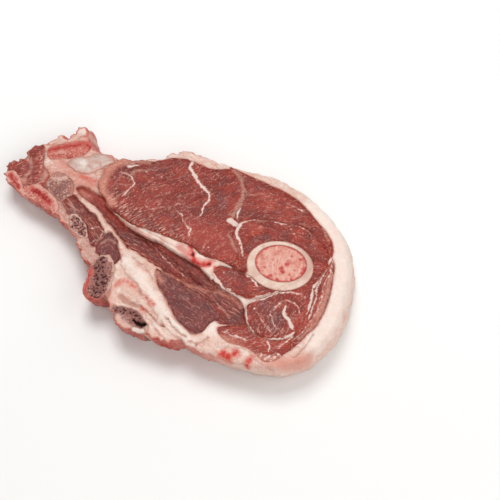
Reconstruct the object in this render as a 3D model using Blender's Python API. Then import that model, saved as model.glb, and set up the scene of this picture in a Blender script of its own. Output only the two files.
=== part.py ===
"""One raw lamb shoulder chop: a thick slice across the arm bone, laid on its flat side, cut face up.

Every muscle, bone and body of fat that shows at the cut is a solid running through the slice.
The pieces are laid out on the cut face as smooth outlines, drawn in order, and an outline keeps
only the ground that no earlier one has taken. Each piece then stands on the board as a slab with
a rounded rim and a slightly crowned top, and the whole stack leans the way the soft slice slumps.

All sizes are in millimetres and are turned into metres when an object is made.
"""

import math

import bmesh
import bpy
from mathutils import Vector, geometry, noise

NAME = "raw_lamb_shoulder_chop"
MM = 0.001

# the slice as a whole
THICKNESS = 16.0       # height of the cut face above the board, at the middle of the chop
FACE_RISE = 0.03       # the slice grows thicker towards the outer fat, per mm along X
LEAN_X = 0.25          # how far the slice slumps sideways, per mm of height
LEAN_Y = 0.22
WAVE_LENGTH = 34.0     # slow unevenness of the cut face
WAVE_HEIGHT = 0.45

# each piece
GAP = 0.3              # seam between two neighbours
RIM_WIDTH = 1.5        # rounded edge where the cut face turns down into a seam
RIM_DROP = 0.9
RING_SHARE = 0.45      # where on the rim the ring of points inside the border runs
CLEAR_SHARE = 0.3      # how near the border a point of that ring may come
CROWN_REACH = 7.0      # distance from the seam at which a crowned top levels out

# how finely the outlines and tops are divided
OVAL_POINTS = 12       # guide points round an oval
CURVE_PARTS = 12       # parts of the smooth curve between two guide points
STEP = 2.3             # along an outline
SHORTEST = 0.7         # shorter border edges are closed up
TOP_SPACING = 4.4      # between points on a top
SLIVER = 2.0           # mm2, the smallest hole worth keeping in a piece
MITRE_LIMIT = 1.6      # how far a sharp corner may run past its seam
NOBODY = -1            # owner of ground that no outline covers

# base colour (linear), roughness
LEAN = ((0.30, 0.055, 0.040), 0.42)
DEEP_LEAN = ((0.20, 0.035, 0.030), 0.40)
PURPLE_LEAN = ((0.17, 0.050, 0.055), 0.45)
FAT = ((0.74, 0.55, 0.45), 0.50)
TENDON = ((0.78, 0.62, 0.52), 0.40)
BONE = ((0.76, 0.62, 0.50), 0.55)
RED_BONE = ((0.28, 0.08, 0.07), 0.60)
MARROW = ((0.62, 0.28, 0.22), 0.45)
CARTILAGE = ((0.68, 0.56, 0.54), 0.32)


def oval(middle, half_length, half_width, turn, pear=0.0):
    """Points round an oval, its long side turned by so many degrees; pear fattens one end."""
    points = []
    for number in range(OVAL_POINTS):
        angle = 2.0 * math.pi * number / OVAL_POINTS
        along = half_length * math.cos(angle)
        across = half_width * math.sin(angle) * (1.0 + pear * math.cos(angle))
        slope = math.radians(turn)
        points.append(
            (
                middle[0] + along * math.cos(slope) - across * math.sin(slope),
                middle[1] + along * math.sin(slope) + across * math.cos(slope),
            )
        )
    return points


# The outlines are guide points on the cut face, with the origin near the middle of the slice.
# name, guide points, height above the face, crown of the top, substance.
# An earlier piece keeps its ground, so a later outline may run on underneath it.
PIECES = (
    # the round bone and its marrow
    ("bone_marrow", oval((47.8, -4.9), 12.0, 9.6, -14.0), -0.3, 0.5, MARROW),
    ("arm_bone", oval((47.4, -6.1), 15.6, 12.9, -16.0), 0.3, 0.0, BONE),
    # muscles of the thick outer end
    (
        "crescent_muscle",
        [(30, -6.5), (28.5, 1), (27, 13.5), (33.5, 18), (47.5, 17), (60.5, 12), (70, -1),
         (64.5, -14.5), (56, -16), (39, -8.5)],
        0.2, 0.5, LEAN,
    ),
    (
        "eye_muscle",
        [(-29, 53), (-14.5, 52), (-1.5, 53.5), (9.5, 50), (15, 47.5), (26.5, 46), (32.5, 37),
         (30, 26), (27.5, 21.5), (30, 4), (32, -10.5), (20.5, -3.5), (12.5, -1), (5.5, 4.5),
         (1, 6.5), (-13.5, 13), (-23, 17), (-30, 23), (-36, 30.5), (-38.5, 42.5)],
        1.2, 0.9, LEAN,
    ),
    (
        "outer_muscle",
        [(23.5, 48), (28.5, 37), (24.5, 22), (26, 15), (33.5, 13), (47, 11), (59, 8), (70.5, -3),
         (71.5, 7), (64.5, 19), (57, 28.5), (45, 37), (32.5, 44)],
        0.6, 0.7, LEAN,
    ),
    (
        "under_bone_muscle",
        [(16.5, -11), (20, -6), (27.5, -8), (37, -13.5), (45, -17), (44, -19.5), (33.5, -23),
         (21.5, -18.5)],
        -0.8, 0.6, LEAN,
    ),
    (
        "oval_muscle",
        [(32, -25.5), (40, -22), (59.5, -15.5), (62, -23.5), (57, -35), (51, -42.5), (42, -44),
         (34, -39), (31, -32)],
        0.0, 0.8, LEAN,
    ),
    (
        "side_strip_muscle",
        [(70, -1), (72.5, -7), (70, -21.5), (64.5, -35.5), (53.5, -47), (51, -45.5), (55, -41),
         (62, -29), (67, -12)],
        -0.4, 0.4, LEAN,
    ),
    (
        "bottom_muscle",
        [(18.5, -39.5), (20.5, -37), (31.5, -36), (40.5, -41), (46.5, -42.5), (51.5, -41),
         (55, -45.5), (42.5, -54.5), (32, -48), (24, -45)],
        -1.0, 0.5, LEAN,
    ),
    # muscles of the breast side, cut a little lower than the eye
    (
        "long_muscle",
        [(-50, 38), (-46, 38), (-37, 32.5), (-32, 26), (-26, 17), (-12, 8), (0.5, 0), (10.5, -7),
         (17, -17.5), (6.5, -15), (-3.5, -9.5), (-17.5, 0), (-27, 8), (-34, 17.5), (-41.5, 28),
         (-49.5, 35.5)],
        -2.6, 0.5, DEEP_LEAN,
    ),
    (
        "purple_muscle",
        [(-10, -6.5), (-7, -8.5), (4, -17), (14, -24), (20, -34), (16.5, -34), (10.5, -40.5),
         (4.5, -38.5), (-2, -30.5), (-9, -16), (-11, -11)],
        -2.3, 0.6, PURPLE_LEAN,
    ),
    (
        "flecked_muscle",
        [(-9, -4.5), (6.5, -12.5), (20.5, -17), (30, -26), (33, -37.5), (19.5, -35.5),
         (16, -30), (8, -22), (2, -18), (-7.5, -8)],
        -2.0, 0.4, DEEP_LEAN,
    ),
    # the row of ribs with the meat between them
    ("rib_bone_lower", oval((-36.3, -11.0), 12.2, 6.8, 77.0, -0.08), -0.8, 0.4, RED_BONE),
    (
        "rib_gap_muscle",
        [(-37.5, 9.5), (-34, 13.5), (-29, 8), (-27, -2), (-32.5, -4.5), (-39, 3)],
        -1.6, 0.4, PURPLE_LEAN,
    ),
    ("rib_bone_middle", oval((-48.0, 16.6), 7.6, 3.4, -58.0), -1.2, 0.0, RED_BONE),
    (
        "rib_muscle",
        [(-57, 31), (-49.5, 32.5), (-38.5, 19), (-35.5, 10.5), (-40.5, 5), (-45.5, 13),
         (-55, 26)],
        -1.4, 0.4, DEEP_LEAN,
    ),
    # the spine end
    ("spongy_bone", oval((-57.8, 38.6), 8.6, 6.2, -62.0), -0.8, 0.0, RED_BONE),
    (
        "rib_bone_upper",
        [(-76.5, 36), (-74, 39.5), (-66, 38), (-59, 29), (-60, 24.5), (-63, 25.5), (-72, 32.5),
         (-75, 33)],
        -1.0, 0.2, RED_BONE,
    ),
    (
        "spine_bone",
        [(-65.5, 58.5), (-62.5, 62), (-52.5, 64), (-49.5, 67), (-46.5, 67), (-43.5, 60),
         (-50, 55.5), (-60.5, 54.5), (-64.5, 55.5)],
        0.0, 0.2, RED_BONE,
    ),
    (
        "tip_bone",
        [(-87, 45.5), (-81, 47.5), (-76.5, 38.5), (-75.5, 33.5), (-79, 36)],
        -0.6, 0.2, RED_BONE,
    ),
    (
        "tip_muscle",
        [(-85, 50), (-79, 55), (-71.5, 62), (-67.5, 61.5), (-66, 50), (-62.5, 42), (-65, 36.5),
         (-70, 36.5), (-75.5, 36)],
        -1.0, 0.5, DEEP_LEAN,
    ),
    (
        "spine_cartilage",
        [(-54.5, 53), (-50.5, 55.5), (-46, 55), (-39.5, 56.5), (-32.5, 52), (-39, 48.5),
         (-47, 45), (-54.5, 50.5)],
        0.0, 0.6, CARTILAGE,
    ),
    (
        "breast_bone",
        [(-31.5, -27.5), (-28, -26), (-18, -29), (-13, -36.5), (-14, -40.5), (-21, -39.5),
         (-29.5, -32)],
        -0.8, 0.3, RED_BONE,
    ),
    # tendon and fat, which fill what is left
    (
        "tendon_wedge",
        [(-35, 30), (-25, 21), (-13.5, 16), (0.5, 10), (6.5, 7.5), (14, 2), (22, -0.5),
         (33.5, -9), (41.5, -18), (36, -17), (28.5, -12.5), (19.5, -10), (16.5, -13),
         (11.5, -12), (7, -8), (-10, 2.5), (-22.5, 11.5), (-33.5, 24.5)],
        0.4, 0.5, TENDON,
    ),
    (
        "seam_membrane",
        [(8.5, -4.5), (17, -8), (24, -17), (36, -20), (47, -16.5), (54.5, -16.5), (49.5, -20),
         (37, -24), (33.5, -26.5), (32, -30.5), (26, -25), (18.5, -19.5), (15.5, -18.5),
         (12.5, -13)],
        -1.2, 0.0, TENDON,
    ),
    (
        "spine_fat",
        [(-69.5, 61.5), (-65, 64), (-61, 67.5), (-56.5, 67), (-52.5, 72), (-47.5, 72),
         (-43, 59.5), (-31.5, 53.5), (-35.5, 40), (-33, 26.5), (-42, 33.5), (-46.5, 33.5),
         (-49.5, 30), (-60.5, 39.5), (-69, 49.5)],
        -0.4, 0.4, FAT,
    ),
    (
        "rib_fat",
        [(-62.5, 32), (-57, 34), (-51, 29.5), (-45, 19.5), (-39, 10.5), (-36.5, 3), (-39, -3.5),
         (-42.5, -3), (-47.5, 6), (-52.5, 15), (-57, 19.5), (-60.5, 24.5), (-63.5, 28)],
        -1.2, 0.3, FAT,
    ),
    (
        "fat_cover",
        [(-17, 53), (-5, 56), (4, 58.5), (14, 53.5), (28.5, 48), (45, 42.5), (59.5, 33),
         (70.5, 21), (77, 6.5), (78.5, -8), (76.5, -22.5), (71.5, -37.5), (62.5, -49.5),
         (51.5, -56.5), (38.5, -58), (26.5, -55), (10, -49), (-0.5, -44), (-6, -44),
         (-14, -40.5), (-19, -39.5), (-30, -30), (-33, -21), (-31.5, -13.5), (-32, -3),
         (-32.5, 6), (-44, 24), (-49.5, 32), (-45.5, 35.5), (-37.5, 28.5), (-27.5, 16.5),
         (-8.5, 3), (15, -11), (33.5, -13.5), (51.5, -9), (56.5, 12.5), (42.5, 29), (24, 41),
         (4.5, 45.5), (-5, 50.5)],
        -0.2, 0.5, FAT,
    ),
)


def clear_scene():
    for item in list(bpy.data.objects):
        bpy.data.objects.remove(item, do_unlink=True)


def smooth_outline(points):
    """A closed, evenly divided curve that runs smoothly through the guide points."""
    fine = []
    count = len(points)
    for number in range(count):
        before, here, after, beyond = (
            Vector(points[(number + shift) % count]) for shift in (-1, 0, 1, 2)
        )
        for part in range(CURVE_PARTS):
            t = part / CURVE_PARTS
            steady = 2.0 * here
            slope = (after - before) * t
            bend = (2.0 * before - 5.0 * here + 4.0 * after - beyond) * t * t
            twist = (3.0 * here - before - 3.0 * after + beyond) * t * t * t
            fine.append((steady + slope + bend + twist) * 0.5)
    return evenly_spaced(fine)


def evenly_spaced(points):
    """The same closed curve, with a point about every STEP along it."""
    lengths = [(points[i] - points[i - 1]).length for i in range(len(points))]
    count = max(8, round(sum(lengths) / STEP))
    pace = sum(lengths) / count
    spaced = []
    travelled = 0.0
    for i in range(len(points)):
        while len(spaced) * pace < travelled + lengths[i] and len(spaced) < count:
            share = (len(spaced) * pace - travelled) / lengths[i]
            spaced.append(points[i - 1].lerp(points[i], share))
        travelled += lengths[i]
    return spaced


def neighbours_of(triangles):
    """For each triangle, the triangles across its three sides, or None at the outer edge."""
    sides = {}
    for number, corners in enumerate(triangles):
        for i in range(3):
            sides.setdefault(frozenset((corners[i - 1], corners[i])), []).append(number)
    found = []
    for number, corners in enumerate(triangles):
        row = []
        for i in range(3):
            pair = sides[frozenset((corners[i - 1], corners[i]))]
            row.append(next((other for other in pair if other != number), None))
        found.append(row)
    return found


def patches(owners, across):
    """The triangles grouped into connected patches of one owner."""
    seen = set()
    groups = []
    for start in range(len(owners)):
        if start in seen:
            continue
        group = [start]
        seen.add(start)
        for number in group:
            for other in across[number]:
                if other is not None and other not in seen and owners[other] == owners[start]:
                    seen.add(other)
                    group.append(other)
        groups.append(group)
    return groups


def area_of(loop):
    return 0.5 * sum(loop[i - 1].cross(loop[i]) for i in range(len(loop)))


def give_scraps_away(points, triangles, owners):
    """Each piece keeps its largest patch; a scrap cut off from it joins whatever it lies along."""
    across = neighbours_of(triangles)
    sizes = [abs(area_of([points[c] for c in corners])) for corners in triangles]
    for _ in range(4):
        groups = patches(owners, across)
        largest = {}
        for group in groups:
            size = sum(sizes[number] for number in group)
            owner = owners[group[0]]
            if size > largest.get(owner, (0.0, None))[0]:
                largest[owner] = (size, group[0])
        for group in groups:
            owner = owners[group[0]]
            if owner == NOBODY:
                keeps = any(None in across[number] for number in group)
            else:
                keeps = largest[owner][1] == group[0]
            if keeps:
                continue
            contact = {}
            for number in group:
                corners = triangles[number]
                for i, other in enumerate(across[number]):
                    if other is None or owners[other] in (owner, NOBODY):
                        continue
                    length = (points[corners[i - 1]] - points[corners[i]]).length
                    contact[owners[other]] = contact.get(owners[other], 0.0) + length
            if contact:
                taker = max(contact, key=contact.get)
                for number in group:
                    owners[number] = taker
    return across


def close_short_borders(points, borders):
    """Merges border points that lie closer than SHORTEST, so that no seam has a tiny kink."""
    ends = {}
    for pair in borders:
        for end in pair:
            ends.setdefault(end, set()).add(pair)
    merged = {}

    def found(number):
        while number in merged:
            number = merged[number]
        return number

    by_length = sorted(
        borders, key=lambda pair: (points[min(pair)] - points[max(pair)]).length
    )
    for pair in by_length:
        first, second = (found(end) for end in sorted(pair))
        if first == second or (points[first] - points[second]).length > SHORTEST:
            continue
        if len(ends[second]) > len(ends[first]):
            first, second = second, first
        merged[second] = first
        ends[first] = ends[first] | ends[second]
    return found


def border_loops(points, triangles, owners, across):
    """The outer loop of every piece, then its holes, all with the piece on their left."""
    runs = {}
    borders = set()
    for number, corners in enumerate(triangles):
        if owners[number] == NOBODY:
            continue
        for i, other in enumerate(across[number]):
            if other is None or owners[other] != owners[number]:
                runs.setdefault(owners[number], []).append((corners[i - 1], corners[i]))
                borders.add(frozenset((corners[i - 1], corners[i])))
    found = close_short_borders(points, borders)
    loops = {}
    for owner, sides in runs.items():
        sides = {(found(a), found(b)) for a, b in sides if found(a) != found(b)}
        sides = {side for side in sides if side[::-1] not in sides}
        onward = {}
        for a, b in sorted(sides):
            onward.setdefault(a, []).append(b)
        closed = []
        while onward:
            start = min(onward)
            path = [start]
            while True:
                choices = onward[path[-1]]
                step = choices.pop()
                if not choices:
                    del onward[path[-1]]
                if step in path:
                    turn = path.index(step)
                    closed.append([points[number] for number in path[turn:]])
                    path = path[: turn + 1]
                    if path[-1] not in onward:
                        break
                else:
                    path.append(step)
        closed = [loop for loop in closed if abs(area_of(loop)) > SLIVER]
        loops[owner] = sorted(closed, key=area_of, reverse=True)
    return loops


def lay_out_face():
    """Shares the cut face out between the pieces and returns the border loops of each."""
    points = []
    faces = []
    for _, guides, _, _, _ in PIECES:
        outline = smooth_outline(guides)
        if area_of(outline) < 0.0:
            outline.reverse()
        faces.append(list(range(len(points), len(points) + len(outline))))
        points.extend(outline)
    points, _, triangles, _, _, sources = geometry.delaunay_2d_cdt(
        points, [], faces, 1, 1e-4, True
    )
    owners = [min(source, default=NOBODY) for source in sources]
    across = give_scraps_away(points, triangles, owners)
    return border_loops(points, triangles, owners, across)


def moved_inward(loop, distance):
    """The loop, every point moved into the piece by this much, square to the border."""
    moved = []
    for i, point in enumerate(loop):
        coming = (point - loop[i - 1]).normalized()
        going = (loop[(i + 1) % len(loop)] - point).normalized()
        middle = coming + going
        if middle.length < 1e-6:
            middle = coming
        middle.normalize()
        inward = Vector((-middle.y, middle.x))
        square = max(inward.dot(Vector((-coming.y, coming.x))), 1.0 / MITRE_LIMIT)
        moved.append(point + inward * (distance / square))
    return moved


def distance_to(loops, point):
    """How far a point on the face is from the nearest border of its piece."""
    nearest = math.inf
    for loop in loops:
        for i in range(len(loop)):
            close, share = geometry.intersect_point_line(point, loop[i - 1], loop[i])
            if share < 0.0:
                close = loop[i - 1]
            elif share > 1.0:
                close = loop[i]
            nearest = min(nearest, (point - Vector(close[:2])).length)
    return nearest


def inner_points(loops):
    """A staggered grid of points over the piece, kept clear of its border."""
    outer = loops[0]
    left = min(point.x for point in outer)
    right = max(point.x for point in outer)
    low = min(point.y for point in outer)
    high = max(point.y for point in outer)
    rise = TOP_SPACING * math.sqrt(0.75)
    grid = []
    for row in range(int((high - low) / rise) + 2):
        for column in range(int((right - left) / TOP_SPACING) + 2):
            shift = 0.5 * (row % 2)
            grid.append(Vector((left + (column + shift) * TOP_SPACING, low + row * rise)))
    clear = RIM_WIDTH + 0.35 * TOP_SPACING
    kept = [point for point in grid if inside(loops, point)]
    return [point for point in kept if distance_to(loops, point) > clear]


def inside(loops, point):
    crossings = 0
    for loop in loops:
        for i in range(len(loop)):
            a = loop[i - 1]
            b = loop[i]
            if (a.y > point.y) != (b.y > point.y):
                share = (point.y - a.y) / (b.y - a.y)
                crossings += point.x < a.x + share * (b.x - a.x)
    return crossings % 2 == 1


def top_height(point, border_distance, lift, crown):
    """Height of a piece's top: the face, its slow waves, a rounded rim and a soft crown."""
    level = THICKNESS + FACE_RISE * point.x + lift
    wave = noise.noise(Vector((point.x, point.y, 3.0)) / WAVE_LENGTH) * WAVE_HEIGHT
    short = max(0.0, 1.0 - border_distance / RIM_WIDTH)
    rim = RIM_DROP * short * short
    swell = crown * (1.0 - math.exp(-2.0 * border_distance / CROWN_REACH))
    return level + wave + swell - rim


def leaning(point, height):
    """Where a point of the face lands at another height, once the slice has slumped."""
    depth = THICKNESS - height
    return Vector((point.x + LEAN_X * depth, point.y + LEAN_Y * depth, height))


def plan_of(loops):
    """The points and triangles of a piece's plan, with a ring of points just inside its border."""
    points = []
    faces = []
    for number, loop in enumerate(loops):
        ends = range(len(points), len(points) + len(loop))
        faces.append(list(ends if number == 0 else reversed(ends)))
        points.extend(loop)
    for loop in loops:
        for point in moved_inward(loop, RING_SHARE * RIM_WIDTH):
            clear = distance_to(loops, point) > CLEAR_SHARE * RIM_WIDTH
            if clear and inside(loops, point):
                points.append(point)
    points.extend(inner_points(loops))
    plan, _, triangles, _, _, sources = geometry.delaunay_2d_cdt(points, [], faces, 1, 1e-4, True)
    triangles = [corners for corners, source in zip(triangles, sources) if source == [0]]
    whole = max(patches([0] * len(triangles), neighbours_of(triangles)), key=len)
    return plan, [triangles[number] for number in whole]


def make_slab(name, loops, lift, crown, shift):
    """A piece: its plan filled with triangles, pulled up into a slab, its top then shaped."""
    loops = [moved_inward(loop, 0.5 * GAP) for loop in loops]
    plan, triangles = plan_of(loops)
    body = bmesh.new()
    corners = [body.verts.new((point.x, point.y, 0.0)) for point in plan]
    for triangle in triangles:
        body.faces.new([corners[number] for number in reversed(triangle)])
    loose = [corner for corner in corners if not corner.link_faces]
    bmesh.ops.delete(body, geom=loose, context="VERTS")
    underside = list(body.faces)
    made = bmesh.ops.extrude_face_region(body, geom=underside, use_keep_orig=True)
    top = {item for item in made["geom"] if isinstance(item, bmesh.types.BMVert)}
    for corner in body.verts:
        place = Vector(corner.co[:2])
        height = 0.0
        if corner in top:
            height = top_height(place, distance_to(loops, place), lift, crown)
        corner.co = leaning(place, height)
    flatten_underside(body)
    for corner in body.verts:
        corner.co = (corner.co + shift) * MM
    bmesh.ops.recalc_face_normals(body, faces=list(body.faces))
    mesh = bpy.data.meshes.new(name)
    body.to_mesh(mesh)
    body.free()
    return mesh


def flatten_underside(body):
    """The underside rests on the board, so its many triangles become one flat face."""
    flat = {face for face in body.faces if max(corner.co.z for corner in face.verts) < 1e-6}
    edges = {edge for face in flat for edge in face.edges}
    inner = [edge for edge in edges if all(face in flat for face in edge.link_faces)]
    bmesh.ops.dissolve_edges(body, edges=inner, use_verts=False, use_face_split=False)
    spare = [corner for corner in body.verts if not corner.link_faces]
    bmesh.ops.delete(body, geom=spare, context="VERTS")


def substance(name, look):
    """A plain Principled material; meat, fat and bone are none of them metals."""
    colour, roughness = look
    material = bpy.data.materials.new(name + "_look")
    material.use_nodes = True
    shader = material.node_tree.nodes["Principled BSDF"]
    shader.inputs["Base Color"].default_value = (*colour, 1.0)
    shader.inputs["Roughness"].default_value = roughness
    shader.inputs["Metallic"].default_value = 0.0
    material.diffuse_color = (*colour, 1.0)
    return material


def middle_of(loops):
    """The shift that puts the middle of the whole slice's footprint over the origin."""
    spread = []
    for rings in loops.values():
        for point in rings[0]:
            spread.append(leaning(point, 0.0))
            spread.append(leaning(point, THICKNESS + FACE_RISE * point.x))
    centre_x = 0.5 * (min(p.x for p in spread) + max(p.x for p in spread))
    centre_y = 0.5 * (min(p.y for p in spread) + max(p.y for p in spread))
    return Vector((-centre_x, -centre_y, 0.0))


def build():
    clear_scene()
    collection = bpy.data.collections.new(NAME)
    bpy.context.scene.collection.children.link(collection)
    loops = lay_out_face()
    shift = middle_of(loops)
    for number, (name, _, lift, crown, look) in enumerate(PIECES):
        mesh = make_slab(name, loops[number], lift, crown, shift)
        mesh.materials.append(substance(name, look))
        collection.objects.link(bpy.data.objects.new(name, mesh))


build()
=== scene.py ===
# %% [markdown]
# # A raw lamb shoulder chop
# A shoulder chop is one thick slice sawn across the upper arm bone. Every muscle, bone and body of
# fat that it crosses shows at the cut face and runs on down through the slice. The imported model
# already says where each of them lies, so the lesson starts by loading it, and it never moves it.

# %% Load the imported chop
import math

import bpy
import numpy as np
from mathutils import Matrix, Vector, geometry


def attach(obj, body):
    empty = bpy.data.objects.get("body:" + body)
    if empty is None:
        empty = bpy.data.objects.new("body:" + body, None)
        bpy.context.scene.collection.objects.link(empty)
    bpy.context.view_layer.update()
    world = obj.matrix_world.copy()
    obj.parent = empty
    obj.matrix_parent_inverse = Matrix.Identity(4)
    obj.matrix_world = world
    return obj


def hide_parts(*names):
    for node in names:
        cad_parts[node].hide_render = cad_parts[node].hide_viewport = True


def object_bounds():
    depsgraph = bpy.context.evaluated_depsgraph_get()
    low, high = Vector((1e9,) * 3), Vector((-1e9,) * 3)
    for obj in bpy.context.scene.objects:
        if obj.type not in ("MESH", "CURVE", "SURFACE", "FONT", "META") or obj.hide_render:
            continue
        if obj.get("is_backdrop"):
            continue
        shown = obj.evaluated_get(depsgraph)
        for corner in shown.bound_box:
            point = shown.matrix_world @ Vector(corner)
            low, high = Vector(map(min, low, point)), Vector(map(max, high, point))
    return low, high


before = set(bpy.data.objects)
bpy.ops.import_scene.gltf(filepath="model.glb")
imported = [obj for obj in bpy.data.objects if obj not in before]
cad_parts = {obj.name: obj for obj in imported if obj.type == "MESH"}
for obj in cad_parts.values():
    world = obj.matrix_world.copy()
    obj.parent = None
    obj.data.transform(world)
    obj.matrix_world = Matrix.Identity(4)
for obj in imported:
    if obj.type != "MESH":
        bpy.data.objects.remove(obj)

CAD_LOW, CAD_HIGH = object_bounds()
print("nodes in the frame:", len(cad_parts))

# %% [markdown]
# ## Working sizes
# Everything is worked out in millimetres, because that is how meat is measured, and turned into
# metres once, when a mesh is made. The slice has slumped sideways a little, as soft meat does, so
# its sides lean: each millimetre down moves a point by `LEAN`. "Plan" means a place on the cut
# face, before the lean.

# %% Working sizes
MM = 0.001
FACE_HEIGHT = 16.0
FACE_RISE = 0.03
LEAN = np.array((0.25, 0.22))
FAR = 30.0
TOP_SPACING = 0.42
BORDER_STEP = 0.45
UNDER_SPACING = 1.2
WALL_ROWS = 12
print("points on the cut face are", TOP_SPACING, "mm apart")

# %% [markdown]
# ## Reading the outlines
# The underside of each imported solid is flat, so its border is the outline of that muscle or bone.
# A side used by only one flat face is on the border, and following such sides from end to end gives
# the loops. The longest way round is the outline; any other loop is a hole with another piece in it.


# %% Read each outline from the frame
def area_inside(loop):
    ahead = np.roll(loop, -1, axis=0)
    return 0.5 * float((loop[:, 0] * ahead[:, 1] - loop[:, 1] * ahead[:, 0]).sum())


def loops_of(node):
    """The border loops of a node in plan, the outer one first and counter-clockwise."""
    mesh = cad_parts[node].data
    places = np.array([corner.co for corner in mesh.vertices]) / MM
    _, first, same = np.unique(
        places.round(2), axis=0, return_index=True, return_inverse=True
    )
    same = same.reshape(-1)
    sides = set()
    for face in mesh.polygons:
        if all(places[i, 2] < 0.01 for i in face.vertices):
            ring = [int(same[i]) for i in face.vertices]
            sides.update(zip(ring, ring[1:] + ring[:1]))
    follows = {a: b for a, b in sides if (b, a) not in sides}
    loops = []
    while follows:
        start = min(follows)
        loop, after = [start], follows.pop(start)
        while after != start:
            loop.append(after)
            after = follows.pop(after)
        loops.append(places[first[loop], :2][::-1] - LEAN * FACE_HEIGHT)
    return sorted(loops, key=lambda loop: -abs(area_inside(loop)))


raw_loops = {node: loops_of(node) for node in sorted(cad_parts)}
low_corner = {node: loops[0].min(axis=0) for node, loops in raw_loops.items()}
print("outlines read:", sum(len(loops) for loops in raw_loops.values()))

# %% [markdown]
# ## Smooth curves
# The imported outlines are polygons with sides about 2 mm long. Meat has no corners like those, so a
# smooth curve is run through the same points and cut into short steps. Real corners, where three
# muscles meet, keep their turn: there the curve is allowed to bend sharply.


# %% Smooth curve through points
def smooth_curve(points, step, closed):
    """Points every few tenths of a millimetre along a smooth curve through the given ones."""
    points = np.asarray(points, float)
    if len(points) < 2:
        return points
    if closed:
        before, ahead = np.roll(points, 1, axis=0), np.roll(points, -1, axis=0)
    else:
        before = np.vstack([points[:1], points[:-1]])
        ahead = np.vstack([points[1:], points[-1:]])
    coming, going = points - before, ahead - points
    long_in = np.linalg.norm(coming, axis=1, keepdims=True)
    long_out = np.linalg.norm(going, axis=1, keepdims=True)
    heading = coming / np.maximum(long_in, 1e-6) + going / np.maximum(long_out, 1e-6)
    heading /= np.maximum(np.linalg.norm(heading, axis=1, keepdims=True), 0.8)
    curve = []
    for i in range(len(points) if closed else len(points) - 1):
        j = (i + 1) % len(points)
        reach = long_out[i]
        parts = max(1, int(round(float(reach[0]) / step)))
        t = (np.arange(parts) / parts)[:, None]
        curve.append(
            (2 * t**3 - 3 * t**2 + 1) * points[i]
            + (t**3 - 2 * t**2 + t) * heading[i] * reach
            + (3 * t**2 - 2 * t**3) * points[j]
            + (t**3 - t**2) * heading[j] * reach
        )
    if not closed:
        curve.append(points[-1:])
    return np.vstack(curve)


square = smooth_curve([(0, 0), (4, 0), (4, 4), (0, 4)], BORDER_STEP, closed=True)
print("a 4 mm square of 4 points becomes a curve of", len(square), "points")

# %% [markdown]
# ## Distances
# Nearly everything on a chop depends on how far a spot is from something: from the seam between two
# muscles, from the outer edge, from a vein of fat. One function measures that for many spots at
# once, and also says how far along the line the nearest place is, so that a vein can taper.


# %% Distance from many spots to a line
def distance_to(spots, starts, ends, reach=FAR):
    """Distance in mm from each spot to the nearest of the lines, and that line's number."""
    found = np.full(len(spots), float(reach))
    which = np.zeros(len(spots), int)
    if not len(starts):
        return found, which
    low = np.minimum(starts, ends).min(axis=0) - reach
    high = np.maximum(starts, ends).max(axis=0) + reach
    near = np.flatnonzero(((spots > low) & (spots < high)).all(axis=1))
    run = ends - starts
    squared = np.maximum((run**2).sum(axis=1), 1e-9)
    for first in range(0, len(near), 3000):
        some = near[first : first + 3000]
        gap_x = spots[some, 0, None] - starts[:, 0]
        gap_y = spots[some, 1, None] - starts[:, 1]
        share = np.clip((gap_x * run[:, 0] + gap_y * run[:, 1]) / squared, 0.0, 1.0)
        apart = (gap_x - share * run[:, 0]) ** 2 + (gap_y - share * run[:, 1]) ** 2
        nearest = apart.argmin(axis=1)
        which[some] = nearest
        found[some] = np.minimum(
            np.sqrt(apart[np.arange(len(some)), nearest]), reach
        )
    return found, which


def sides_of(loops):
    """Start and end points of every side of the loops."""
    return np.vstack(loops), np.vstack([np.roll(loop, -1, axis=0) for loop in loops])


middle_gap, _ = distance_to(np.array([[2.0, 2.0]]), *sides_of([square]))
print(f"from its middle to its edge: {middle_gap[0]:.2f} mm")

# %% [markdown]
# ## Natural unevenness
# Nothing on meat repeats, yet the script has to give the same chop on every run. The usual answer is
# value noise: a random height at each crossing of a grid, made from the crossing's own numbers,
# with a smooth blend between crossings. Its `size` is the width of a bump in millimetres.


# %% Smooth repeatable unevenness
def uneven(x, y, size, seed):
    """Smooth bumps of about that size in mm, from -1 to 1."""
    grid_x, grid_y = x / size, y / size
    left, low = np.floor(grid_x).astype(np.int64), np.floor(grid_y).astype(np.int64)
    across, up = grid_x - left, grid_y - low
    across, up = across * across * (3 - 2 * across), up * up * (3 - 2 * up)

    def height(i, j):
        mixed = (i * 374761393 + j * 668265263 + seed * 974634777) & 0xFFFFFFFF
        mixed = ((mixed ^ (mixed >> 13)) * 1274126177) & 0xFFFFFFFF
        return ((mixed ^ (mixed >> 16)) & 0xFFFF) / 32767.5 - 1.0

    lower = height(left, low) * (1 - across) + height(left + 1, low) * across
    upper = height(left, low + 1) * (1 - across) + height(left + 1, low + 1) * across
    return lower * (1 - up) + upper * up


def eased(value, low, high):
    """0 below low, 1 above high, with a soft change between."""
    share = np.clip((value - low) / (high - low), 0.0, 1.0)
    return share * share * (3 - 2 * share)


steps = np.arange(6.0)
print("bumps 3 mm wide, read every mm:", uneven(steps, 0 * steps, 3.0, 1).round(2))

# %% [markdown]
# ## Finished outlines
# Neighbouring solids stand 0.3 mm apart so that they can be told apart in a simulation. Real
# muscles touch, so each outline grows by half of that gap. Where no neighbour is near, the outline
# is the outside of the chop: smooth where the fat was trimmed clean, torn and ragged towards the
# ribs, where the saw and the knife met bone.

# %% Grow and roughen the outlines
SEAM_GAP = 0.16
MOST_RAGGED = 1.35
RING_MIDDLE = 0.5 * (raw_loops["arm_bone"][0].min(axis=0) + raw_loops["arm_bone"][0].max(axis=0))


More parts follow.
